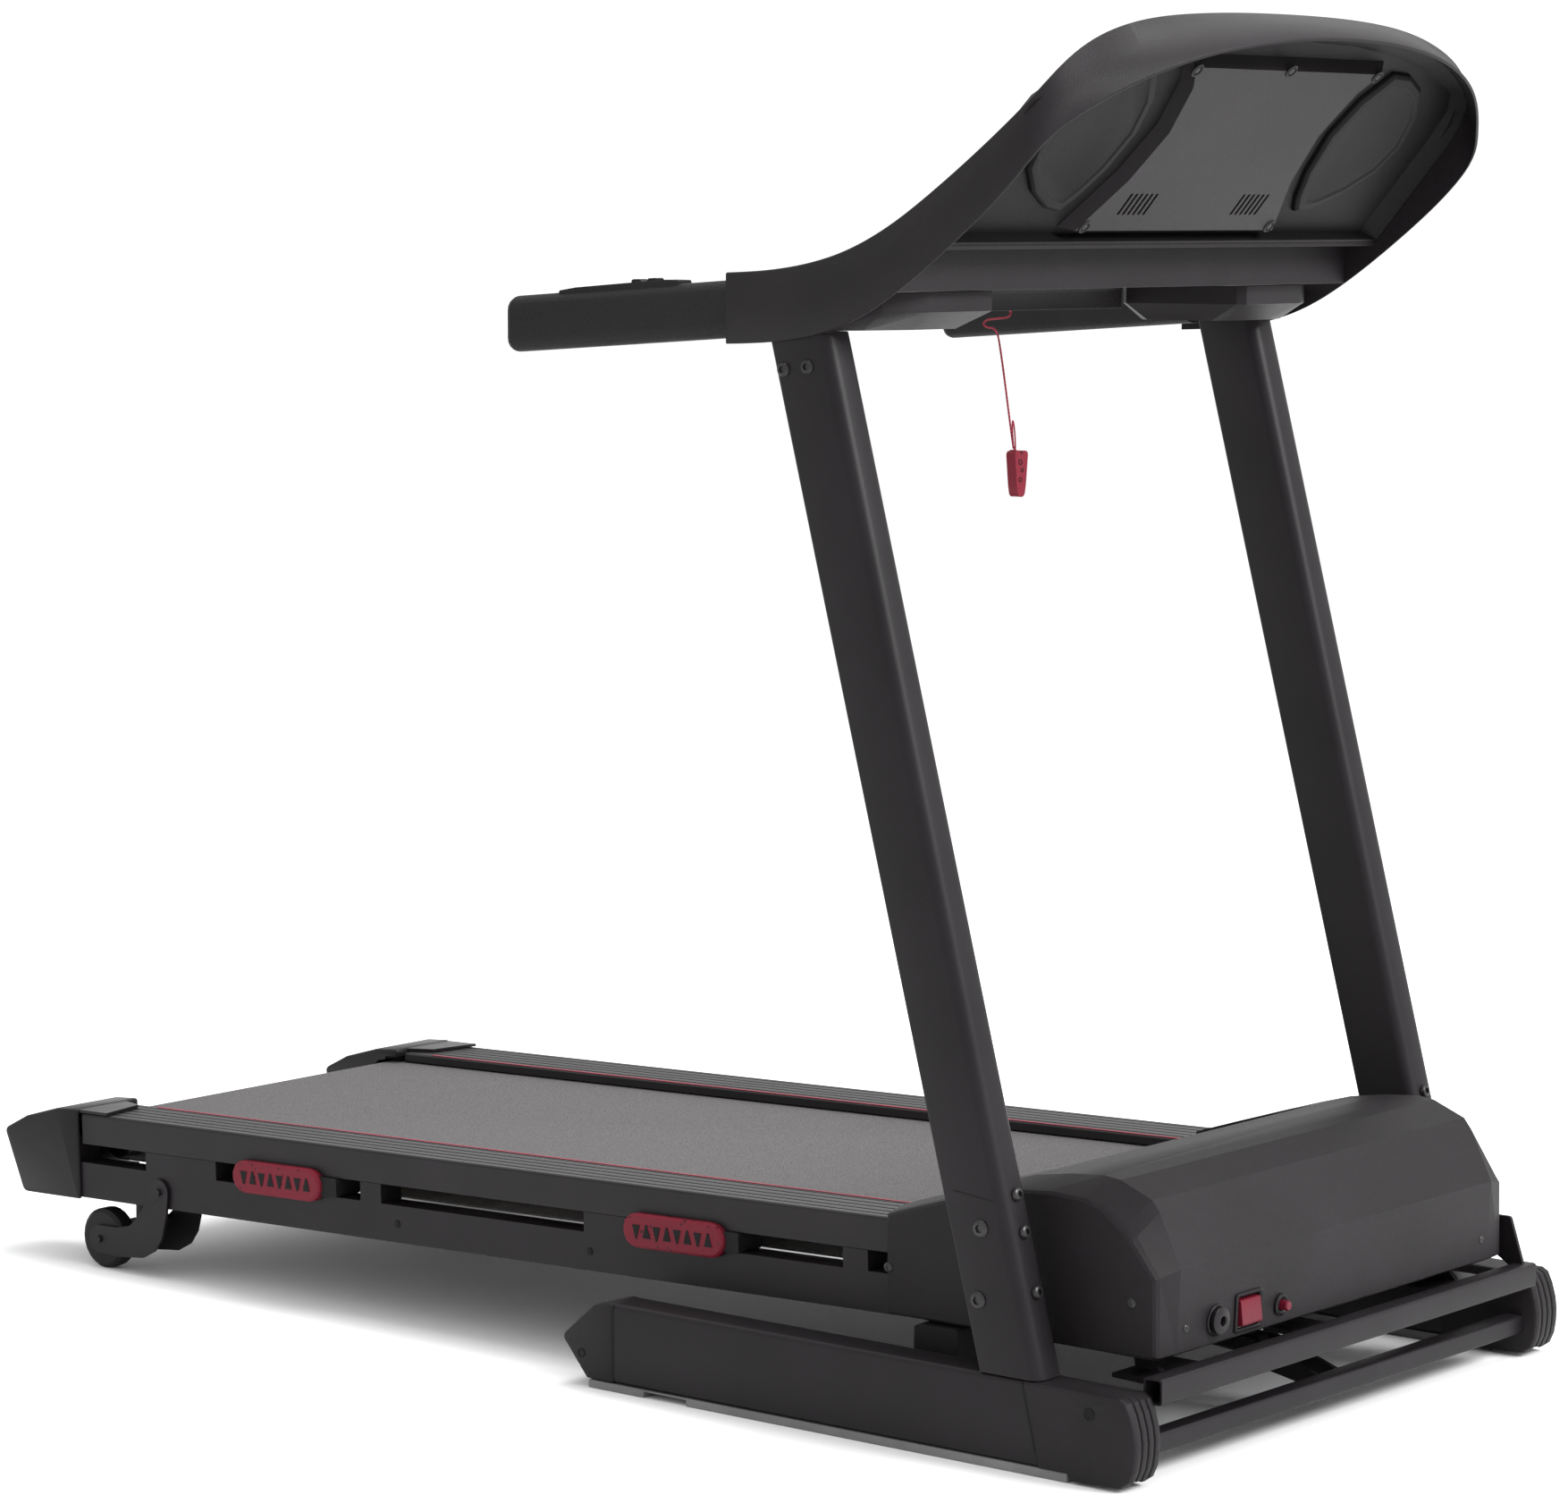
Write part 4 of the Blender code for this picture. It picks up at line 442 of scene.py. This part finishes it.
# ---------------------------------------------------------------- carried shapes, edges softened
BEVELS = {
    "motor_hood": 0.0022, "end_cap": 0.0022, "upright": 0.0025, "base_rail": 0.0028,
    "base_front_cap": 0.0010, "base_rear_cap": 0.0014,
    "console_face": 0.0012, "console_back_cover": 0.0014, "cup_tray": 0.0030, "handlebar": 0.0014,
    "safety_clip": 0.0012, "cushion": 0.0012, "deck_frame": 0.0022, "rear_foot": 0.0010,
    "deck_rest": 0.0020, "foot_rail": 0.0003, "handlebar_key": 0.0008, "start_key": 0.0008,
    "stop_key": 0.0008, "safety_key": 0.0010, "power_switch": 0.0008, "reset_button": 0.0004,
    "foot_strip": 0.0010, "walking_belt": 0.0, "running_board": 0.0010,
}
FINE_BEVEL = 0.0007
SOFT_ANGLE = {"motor_hood": 12.0, "walking_belt": 30.0}
REBUILT = ("console_shell", "safety_cord")
skins = {}
for cad_name in sorted(NODES):
    if cad_name not in REBUILT:
        width = entry_for(cad_name, BEVELS)
        width = FINE_BEVEL if width is None else width
        skins[cad_name] = refined(cad_name, width, entry_for(cad_name, SOFT_ANGLE) or 40.0)

# the belt's inner side is pale backing cloth
belt = skins["walking_belt"].data
belt.materials.append(PALE)
MID_BELT = -0.0368                    # half way between the belt's upper and lower runs
for face in belt.polygons:
    y, z = face.center.y - SHIFT, face.center.z - DECK_Z
    local_z = y * math.sin(TILT) + z * math.cos(TILT)
    if (local_z - MID_BELT) * face.normal.z < 0 and abs(face.normal.z) > 0.5:
        face.material_index = 1

PAD_MIDDLES = (("rear", 0.6550), ("front", 0.1155))
PAD_HALF, PAD_BACK, PAD_FACE = 0.0645, 0.2864, 0.2949
STEM_FACE = 0.2906
PAD_HEIGHT = -0.0430
for pad in [n for n in skins if n.startswith("cushion")]:
    # only the outer pad is red: its stem inside the frame is black
    skins[pad].data.materials.append(RUBBER)
    for face in skins[pad].data.polygons:
        off_middle = min(abs(face.center.y - SHIFT - y) for label, y in PAD_MIDDLES)
        across = abs(face.center.x)
        if across < PAD_BACK or (across < STEM_FACE and off_middle > PAD_HALF):
            face.material_index = 1

# the face's upper corners follow the rim's rounding
NARROWING, NARROW_FROM, NARROW_OVER = 0.035, 1.150, 0.050
for corner in skins["console_face"].data.vertices:
    corner.co.x *= 1.0 - NARROWING * min(max((corner.co.z - NARROW_FROM) / NARROW_OVER, 0.0), 1.0)

# a row of tapering hollows along each pad, pointing up and down in turn, drawn as thin dark slabs of painted
# shade
HOLLOWS, HOLLOW_PITCH, FIRST_HOLLOW = 8, 0.0130, -0.0455
for pad_name, pad_y in PAD_MIDDLES:
    for side, s in SIDES:
        for k in range(HOLLOWS):
            y, up = pad_y + FIRST_HOLLOW + k * HOLLOW_PITCH, (1, -1)[k % 2]
            foot, tip = PAD_HEIGHT - 0.0062 * up, PAD_HEIGHT + 0.0072 * up
            hollow = [(y - 0.0048, foot), (y + 0.0048, foot), (y + 0.0010, tip), (y - 0.0010, tip)]
            slab("pad_hollow_%s_%d_%s" % (pad_name, k, side), hollow,
                 lambda a, b, out: deck_point(s * (PAD_FACE + out), a, b), 0.0, 0.0004, SHADE_AND_BLACK, "deck")

# ---------------------------------------------------------------- cord loop and clip
CLIP_X, CLIP_Y, CLIP_TOP = 0.0380, -0.0450, 0.8900
CLIP_BOSSES = ((-0.002, -0.012, 0.0030), (0.001, -0.020, 0.0022), (-0.002, -0.029, 0.0026))
LOOP_X, LOOP_Z, LOOP_HALF_WIDTH, LOOP_HALF_HEIGHT, LOOP_SLANT = 0.0308, 0.9030, 0.0034, 0.0150, 0.0035
loop_line = []
for i in range(40):
    angle = 2 * math.pi * i / 40
    slant = LOOP_SLANT * (1.0 - math.sin(angle)) / 2
    loop_line.append(row(LOOP_X + LOOP_HALF_WIDTH * math.cos(angle) + slant,
                         CLIP_Y + 0.0012 * math.cos(angle), LOOP_Z + LOOP_HALF_HEIGHT * math.sin(angle)))
loop = wire("cord_loop", loop_line, 0.0008, CORD, "safety_key", cyclic=True)
for k, (dx, dz, r) in enumerate(CLIP_BOSSES):
    for front in (-1.0, 1.0):
        turned("clip_boss_%d_%s" % (k, "front" if front < 0 else "back"),
                                 row(CLIP_X + dx, CLIP_Y + front * 0.0052, CLIP_TOP + dz), (0, front, 0),
                                 [(r, 0.0), (r, 0.0006), (r * 0.7, 0.0008), (r * 0.6, 0.0002)], SHADE_AND_BLACK,
                                 "safety_key", 14)

# ---------------------------------------------------------------- screws, bolts and seams
for side, s in SIDES:
    outer = OUTER * s
    for k, (y, z) in enumerate(((-0.3067, 0.2172), (-0.3044, 0.1515))):
        screw("upright_bolt_%d_%s" % (k, side), row(outer, y, z), (s, 0, 0), 0.0082, "base", 0.0030)
    for k, (y, z) in enumerate(((-0.0784, 0.9780), (-0.1061, 0.9810))):
        screw("top_bolt_%d_%s" % (k, side), row(outer, y, z), (s, 0, 0), 0.0068, "base", 0.0028)
    for k, z in enumerate((0.2480, 0.2150, 0.1620)):
        y = UPRIGHT_FOOT[0] + (z - UPRIGHT_FOOT[1]) * math.tan(UPRIGHT_LEAN) - UPRIGHT_DEPTH
        screw("front_bolt_%d_%s" % (k, side), row(0.3390 * s, y, z), (0, -0.967, 0.256), 0.0062, "base",
              0.0042)
    seams = (("sleeve_seam", (-0.2760, 0.2480), (-0.3200, 0.2433), 0.0006, (0, 0.1, 1)),
             ("cap_seam", (-0.3534, 0.0840), (-0.3688, 0.0220), 0.0011, (0, 1, 0)),
             ("tail_seam", (0.1320, 0.0840), (0.1320, 0.0120), 0.0008, (0, 1, 0)))
    for label, start, end, half, across in seams:
        a, b = row(outer, *start), row(outer, *end)
        out = Vector(across).cross(b - a)
        if out.x * s < 0:
            a, b = b, a
        ribbon("%s_%s" % (label, side), [a, b], half, 0.0002, SHADE_AND_BLACK, "base", across)
    # the nose hole and the tail screw's recess are dark rings of painted shade
    for label, y, z, r in (("nose_hole", -0.4273, 0.0662, 0.0048), ("tail_screw", 0.1730, 0.0325, 0.0036)):
        turned("%s_%s" % (label, side), row(outer, y, z), (s, 0, 0),
               [(r * 1.25, -SUNK), (r * 1.25, 0.0004), (r, 0.0005), (r * 0.8, -0.0002)], SHADE_AND_BLACK, "base", 22)
    screw("foot_bolt_" + side, row(0.2862 * s, 0.8330, 0.0940), (s, 0, 0), 0.0070, "deck", 0.0026)
    for k, y in enumerate((0.2300, 0.4900)):
        turned("rail_plug_%d_%s" % (k, side), deck_point(0.2868 * s, y, -0.0720), (s, 0, 0),
               [(0.0040, -0.0012), (0.0040, -0.0002), (0.0030, 0.0002)], SHADE_AND_BLACK, "deck", 18)
    stripe = [deck_point(0.2140 * s, -0.1440 + i * 0.1057, -0.0003) for i in range(11)]
    if s > 0:
        stripe.reverse()
    ribbon("rail_stripe_" + side, stripe, 0.0019, 0.0003, STRIPE, "deck", (s, 0, 0))
    for k, (y, z) in enumerate(((-0.1484, 0.1490), (-0.4245, 0.1540))):
        screw("hood_screw_%d_%s" % (k, side), row(0.2926 * s, y, z), (s, 0, 0), 0.0048, "deck", 0.0012,
              slot="cross")

# ---------------------------------------------------------------- hood front
def hood_front(x, z, out):
    """A point on the hood's front, which leans by 3.6 mm over 77 mm of height."""
    y = -0.4530 - (z - 0.1070) * (0.0036 / 0.0770)
    return row(x, y - out, z)


def ring_at(centre, radius):
    return [(centre[0] + a, centre[1] + b) for a, b in disc(radius)]


RESET_AT, INLET_AT = (-0.0990, 0.1240), (-0.2030, 0.1275)
collar("switch_bezel", rounded(-0.1735, -0.1310, 0.1095, 0.1460, 0.003),
       rounded(-0.1695, -0.1350, 0.1130, 0.1425, 0.002), hood_front, 0.0026, SATIN, "deck")
collar("reset_collar", ring_at(RESET_AT, 0.0105), ring_at(RESET_AT, 0.0054), hood_front, 0.0034, SATIN,
       "deck")
collar("inlet_collar", ring_at(INLET_AT, 0.0150), ring_at(INLET_AT, 0.0118), hood_front, 0.0022, SATIN,
       "deck")
for label, x in (("hood_front_screw", -0.2500), ("hood_front_screw_far", 0.2500)):
    screw(label, hood_front(x, 0.1280, 0.0), (0, -1, -0.047), 0.0036, "deck", 0.0010, slot="cross")

# the hood's throat closes down to just above the belt
THROAT = [(-0.2895, 0.2475), (-0.2760, 0.2350), (-0.2580, 0.2220), (-0.2360, 0.2100), (-0.2100, 0.1990),
          (-0.1850, 0.1915)]
THROAT_HALF = 0.2099
throat_loop = THROAT + [(y - 0.0006, z - 0.0025) for y, z in reversed(THROAT)]
throat = loft([[row(x, y, z) for y, z in throat_loop] for x in (-THROAT_HALF, THROAT_HALF)])
place("hood_throat", throat, PLASTIC, "deck", 0.0004)

# ---------------------------------------------------------------- console shell
RIM_X, WALL, BEZEL = 0.3635, 0.0030, 0.0120
RIM_TOP = 1.2994
ROUND_IN, ROUND_DOWN, ROUND_REAR, BELLY = 0.0016, 0.0014, 0.0012, 0.0012
CONSOLE_HEART = Vector((0.0, -0.25 + SHIFT, 1.10))
PAN_BOTTOM = -0.165
# the side arms' bands (y, z): upper edge, then lower edge
SIDE_UPPER = [(-0.0130, 1.0650), (-0.0600, 1.0670), (-0.1050, 1.0730), (-0.1500, 1.0840),
              (-0.2000, 1.1065), (-0.2500, 1.1380), (-0.3040, 1.1760)]
SIDE_LOWER = [(-0.0130, 1.0000), (-0.0650, 1.0020), (-0.1180, 1.0090), (-0.1680, 1.0250),
              (-0.2200, 1.0550), (-0.2750, 1.0940), (-0.3250, 1.1340)]
# the rim above the side bands: user's edge, then rear edge (across, up the slope, out)
RIM = [((0.3575, 0.0045, 0.0005), (0.3610, -0.0250, -0.0360)),
       ((0.3480, 0.0160, 0.0035), (0.3550, -0.0165, -0.0335)),
       ((0.3360, 0.0310, 0.0085), (0.3440, -0.0050, -0.0320)),
       ((0.3200, 0.0430, 0.0140), (0.3320, 0.0080, -0.0320)),
       ((0.3000, 0.0510, 0.0200), (0.3170, 0.0230, -0.0320)),
       ((0.2700, 0.0600, 0.0270), (0.2900, 0.0440, -0.0320)),
       ((0.2300, 0.0675, 0.0330), (0.2550, 0.0640, -0.0320)),
       ((0.1750, 0.0740, 0.0360), (0.1950, 0.0865, -0.0320)),
       ((0.0950, 0.0795, 0.0360), (0.1050, 0.1035, -0.0320)),
       ((0.0, 0.0810, 0.0360), (0.0, 0.1095, -0.0320))]
user_edge = [row(RIM_X, y, z) for y, z in SIDE_UPPER] + [console_point(*front) for front, rear in RIM]
rear_edge = [row(RIM_X, y, z) for y, z in SIDE_LOWER] + [console_point(*rear) for front, rear in RIM]


def across_middle(points):
    """The half line and its mirror image, joined through the middle."""
    return smooth_line(points + [Vector((-p.x, p.y, p.z)) for p in reversed(points[:-1])], 5)


def evened(first, second, count, rounds):
    """Two lines stepped evenly along their mean, then relaxed so that no corner stays in them."""
    mean = [(a + b) / 2 for a, b in zip(first, second)]
    reach = [0.0]
    for a, b in zip(mean, mean[1:]):
        reach.append(reach[-1] + (b - a).length)
    lines = ([], [])
    at = 0
    for k in range(count + 1):
        target = reach[-1] * k / count
        while at < len(reach) - 2 and reach[at + 1] < target:
            at += 1
        t = (target - reach[at]) / (reach[at + 1] - reach[at])
        lines[0].append(first[at].lerp(first[at + 1], t))
        lines[1].append(second[at].lerp(second[at + 1], t))
    for _ in range(rounds):
        lines = [[line[0]] + [(a + 2 * b + c) / 4 for a, b, c in zip(line, line[1:], line[2:])] + [line[-1]]
                 for line in lines]
    return lines


def rim_loop(top, low, run):
    """The rim's section between its user's edge and its rear edge, across its run."""
    width = (low - top).normalized()
    inward = run.cross(width).normalized()
    if inward.dot(CONSOLE_HEART - top) < 0:
        inward = -inward
    inner_top = top + width * WALL
    section = [top + inward * ROUND_IN, top + width * ROUND_DOWN, (top + low) / 2 - inward * BELLY,
               low - width * ROUND_REAR, low + inward * ROUND_REAR, low + inward * WALL,
               inner_top + inward * WALL, inner_top + inward * BEZEL,
               top + inward * BEZEL + width * 0.0005, top + inward * (BEZEL - 0.0008)]
    return [Vector((max(-RIM_X, min(RIM_X, p.x)), p.y, min(p.z, RIM_TOP))) for p in section]


user_line, rear_line = evened(across_middle(user_edge), across_middle(rear_edge), 160, 10)
rim_loops = []
for i, (top, low) in enumerate(zip(user_line, rear_line)):
    ahead, back = min(i + 1, len(user_line) - 1), max(i - 1, 0)
    run = (user_line[ahead] + rear_line[ahead] - user_line[back] - rear_line[back]).normalized()
    rim_loops.append(rim_loop(top, low, run))
rim = place("console_rim", loft(rim_loops), CONSOLE, "base", smooth=50.0)
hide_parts("console_shell")


def rim_outline(out, shrink, bottom):
    """The rim's outline at a distance out, drawn in by shrink."""
    half = [(RIM_X, bottom), (RIM_X, -0.040)]
    for front, rear in RIM:
        t = min(max((front[2] - out) / (front[2] - rear[2]), 0.0), 1.0)
        half.append((front[0] + (rear[0] - front[0]) * t, front[1] + (rear[1] - front[1]) * t))
    line = [Vector(p) for p in half + [(-x, rise) for x, rise in reversed(half[:-1])]]
    moved = []
    for i, here in enumerate(line):
        a = (here - line[i - 1]).normalized()
        b = (line[(i + 1) % len(line)] - here).normalized()
        mean = (Vector((-a.y, a.x)) + Vector((-b.y, b.x))).normalized()
        moved.append(here + mean * (shrink / max(mean.dot(Vector((-a.y, a.x))), 0.3)))
    return moved


def pan_loop(out, shrink, drop=0.0):
    return [console_point(p.x, p.y, out) for p in rim_outline(out, shrink, PAN_BOTTOM - drop)]


# the pan's wall and floor are painted in shade
pan_wall = loft([pan_loop(-0.0030, 0.0022), pan_loop(0.0130, 0.0200, 0.018), pan_loop(0.0100, 0.0210, 0.017),
                 pan_loop(-0.0030, 0.0050)], closed=True)
place("console_pan", pan_wall, SHADE, "base", smooth=35.0)
pan_floor = loft([pan_loop(0.0128, 0.0205, 0.018), pan_loop(0.0100, 0.0205, 0.018)])
place("console_pan_floor", pan_floor, SHADE, "base", smooth=35.0)
# side outlines (y, z) of the shelf below the pan and of the dash in front of the user
LEDGE = [(-0.2450, 1.0863), (-0.2450, 1.0915), (-0.2442, 1.0923), (-0.2080, 1.0923), (-0.2070, 1.0915),
         (-0.2070, 1.0490), (-0.2100, 1.0490), (-0.2100, 1.0863)]
DASH = [(-0.2120, 1.0880), (-0.2120, 1.0915), (-0.0620, 1.0526), (-0.0560, 1.0500), (-0.0515, 1.0462),
        (-0.0500, 1.0420), (-0.0500, 1.0250), (-0.0530, 1.0250), (-0.0530, 1.0410), (-0.0550, 1.0448),
        (-0.0600, 1.0484), (-0.2080, 1.0873)]
for label, line, half in (("console_ledge", LEDGE, RIM_X - 0.0030), ("console_dash", DASH, 0.1988)):
    place(label, loft([[row(x, y, z) for y, z in line] for x in (-half, half)]), CONSOLE, "base", 0.0004)

# ---------------------------------------------------------------- console, seen from behind
def behind(a, b, out):
    return console_point(a, b, -out)


def on_cover(a, b, out):
    return behind(a, b, 0.0030 + out)


# the leaf-shaped recess panels are painted in shade
LEAF_MIDDLE = (0.228, -0.045)
LEAF_STEPS = ((0.94, -0.0100), (0.93, -0.0060), (0.89, -0.0034), (0.80, -0.0030), (0.77, -0.0044))
LEAF = [(0.190, 0.046), (0.222, 0.044), (0.258, 0.028), (0.286, -0.006), (0.298, -0.048), (0.286, -0.084),
        (0.252, -0.114), (0.214, -0.134), (0.190, -0.138), (0.176, -0.120), (0.160, -0.085), (0.152, -0.035),
        (0.164, 0.010)]
for side, s in SIDES:
    middle_x, middle_rise = LEAF_MIDDLE[0] * s, LEAF_MIDDLE[1]
    loops = [[behind(middle_x + (a * s - middle_x) * grow, middle_rise + (b - middle_rise) * grow, out)
              for a, b in LEAF] for grow, out in LEAF_STEPS]
    place("leaf_panel_" + side, loft(loops), SHADE, "base", 0.0010, 50.0)
# each pocket's floor is a dark disc of painted shade under its screw
POCKETS = [(-0.148, 0.043), (0.0, 0.046), (0.148, 0.043), (-0.150, -0.142), (0.150, -0.142)]
for k, pocket in enumerate(POCKETS):
    collar("pocket_rim_%d" % k, ring_at(pocket, 0.0072), ring_at(pocket, 0.0050), on_cover, 0.0012, CONSOLE,
           "base")
    slab("pocket_floor_%d" % k, ring_at(pocket, 0.0051), on_cover, 0.0001, 0.0003, SHADE_AND_BLACK, "base")
    screw("pocket_screw_%d" % k, on_cover(*pocket, 0.0001), (0, -0.75241, -0.65869), 0.0028, "base", 0.0008,
          slot="cross")

# ---------------------------------------------------------------- console, the user's side
FACE = 0.0360                         # how far out the face lies


def on_face(a, b, out):
    return console_point(a, b, FACE + out)


slab("display_lens", rounded(-0.1335, 0.1335, -0.0190, 0.0290, 0.005), on_face, -0.0012, -0.0002, LENS,
     "base", 0.0004)
for k in range(4):
    x = -0.0960 + k * 0.0640
    collar("display_window_%d" % k, rounded(x - 0.0270, x + 0.0270, -0.0100, 0.0200, 0.003),
           rounded(x - 0.0262, x + 0.0262, -0.0092, 0.0192, 0.003),
           lambda a, b, out: on_face(a, b, out - 0.0002), 0.0003, MARK, "base")
for k in range(6):
    x = -0.0550 + k * 0.0220
    slab("speed_pad_%d" % k, rounded(x - 0.0085, x + 0.0085, -0.0520, -0.0380, 0.003), on_face,
         -0.0002, 0.0010, RUBBER, "base", 0.0004)
    slab("speed_pad_mark_%d" % k, rounded(x - 0.0030, x + 0.0030, -0.0457, -0.0443, 0.0005), on_face,
         0.0009, 0.0012, MARK, "base")
collar("key_surround", rounded(-0.0260, 0.0260, -0.1330, -0.0970, 0.006),
       rounded(-0.0180, 0.0180, -0.1270, -0.1030, 0.004), on_face, 0.0016, STRIPE, "base")
# the speaker slots are dark strips of painted shade on the face
for side, s in SIDES:
    for k in range(3):
        slot_x = (0.1850 + k * 0.0080) * s
        slot = rounded(slot_x - 0.0015, slot_x + 0.0015, -0.0500, 0.0100, 0.001)
        slab("speaker_slot_%d_%s" % (k, side), slot, on_face, -0.0004, 0.0002, SHADE_AND_BLACK, "base")

# ---------------------------------------------------------------- floor and light
floor_grid = bmesh.new()
bmesh.ops.create_grid(floor_grid, x_segments=2, y_segments=2, size=30.0)
floor_mesh = bpy.data.meshes.new("floor")
floor_grid.to_mesh(floor_mesh)
floor_grid.free()
floor = bpy.data.objects.new("floor", floor_mesh)
bpy.context.scene.collection.objects.link(floor)
floor_mesh.materials.append(shader("floor", (0.90, 0.90, 0.905), 0.75, spec=0.2)[0])

world = bpy.data.worlds.new("studio")
bpy.context.scene.world = world
world.use_nodes = True
sky = world.node_tree.nodes["Background"]
sky.inputs["Color"].default_value = (1.0, 1.0, 1.0, 1.0)
sky.inputs["Strength"].default_value = 1.12
bpy.context.scene.view_settings.view_transform = "Standard"


def lamp(name, at, aim, width, height, power):
    """A soft rectangular lamp turned towards aim."""
    data = bpy.data.lights.new(name, "AREA")
    data.shape = "RECTANGLE"
    data.size, data.size_y = width, height
    data.energy = power
    obj = bpy.data.objects.new(name, data)
    bpy.context.scene.collection.objects.link(obj)
    obj.location = at
    obj.rotation_euler = (Vector(aim) - Vector(at)).to_track_quat("-Z", "Y").to_euler()


lamp("key", (1.2, -4.6, 3.4), (0.0, -0.2, 0.6), 2.4, 1.8, 330.0)
lamp("top", (0.4, -0.2, 4.6), (0.1, 0.2, 0.3), 2.4, 2.4, 150.0)
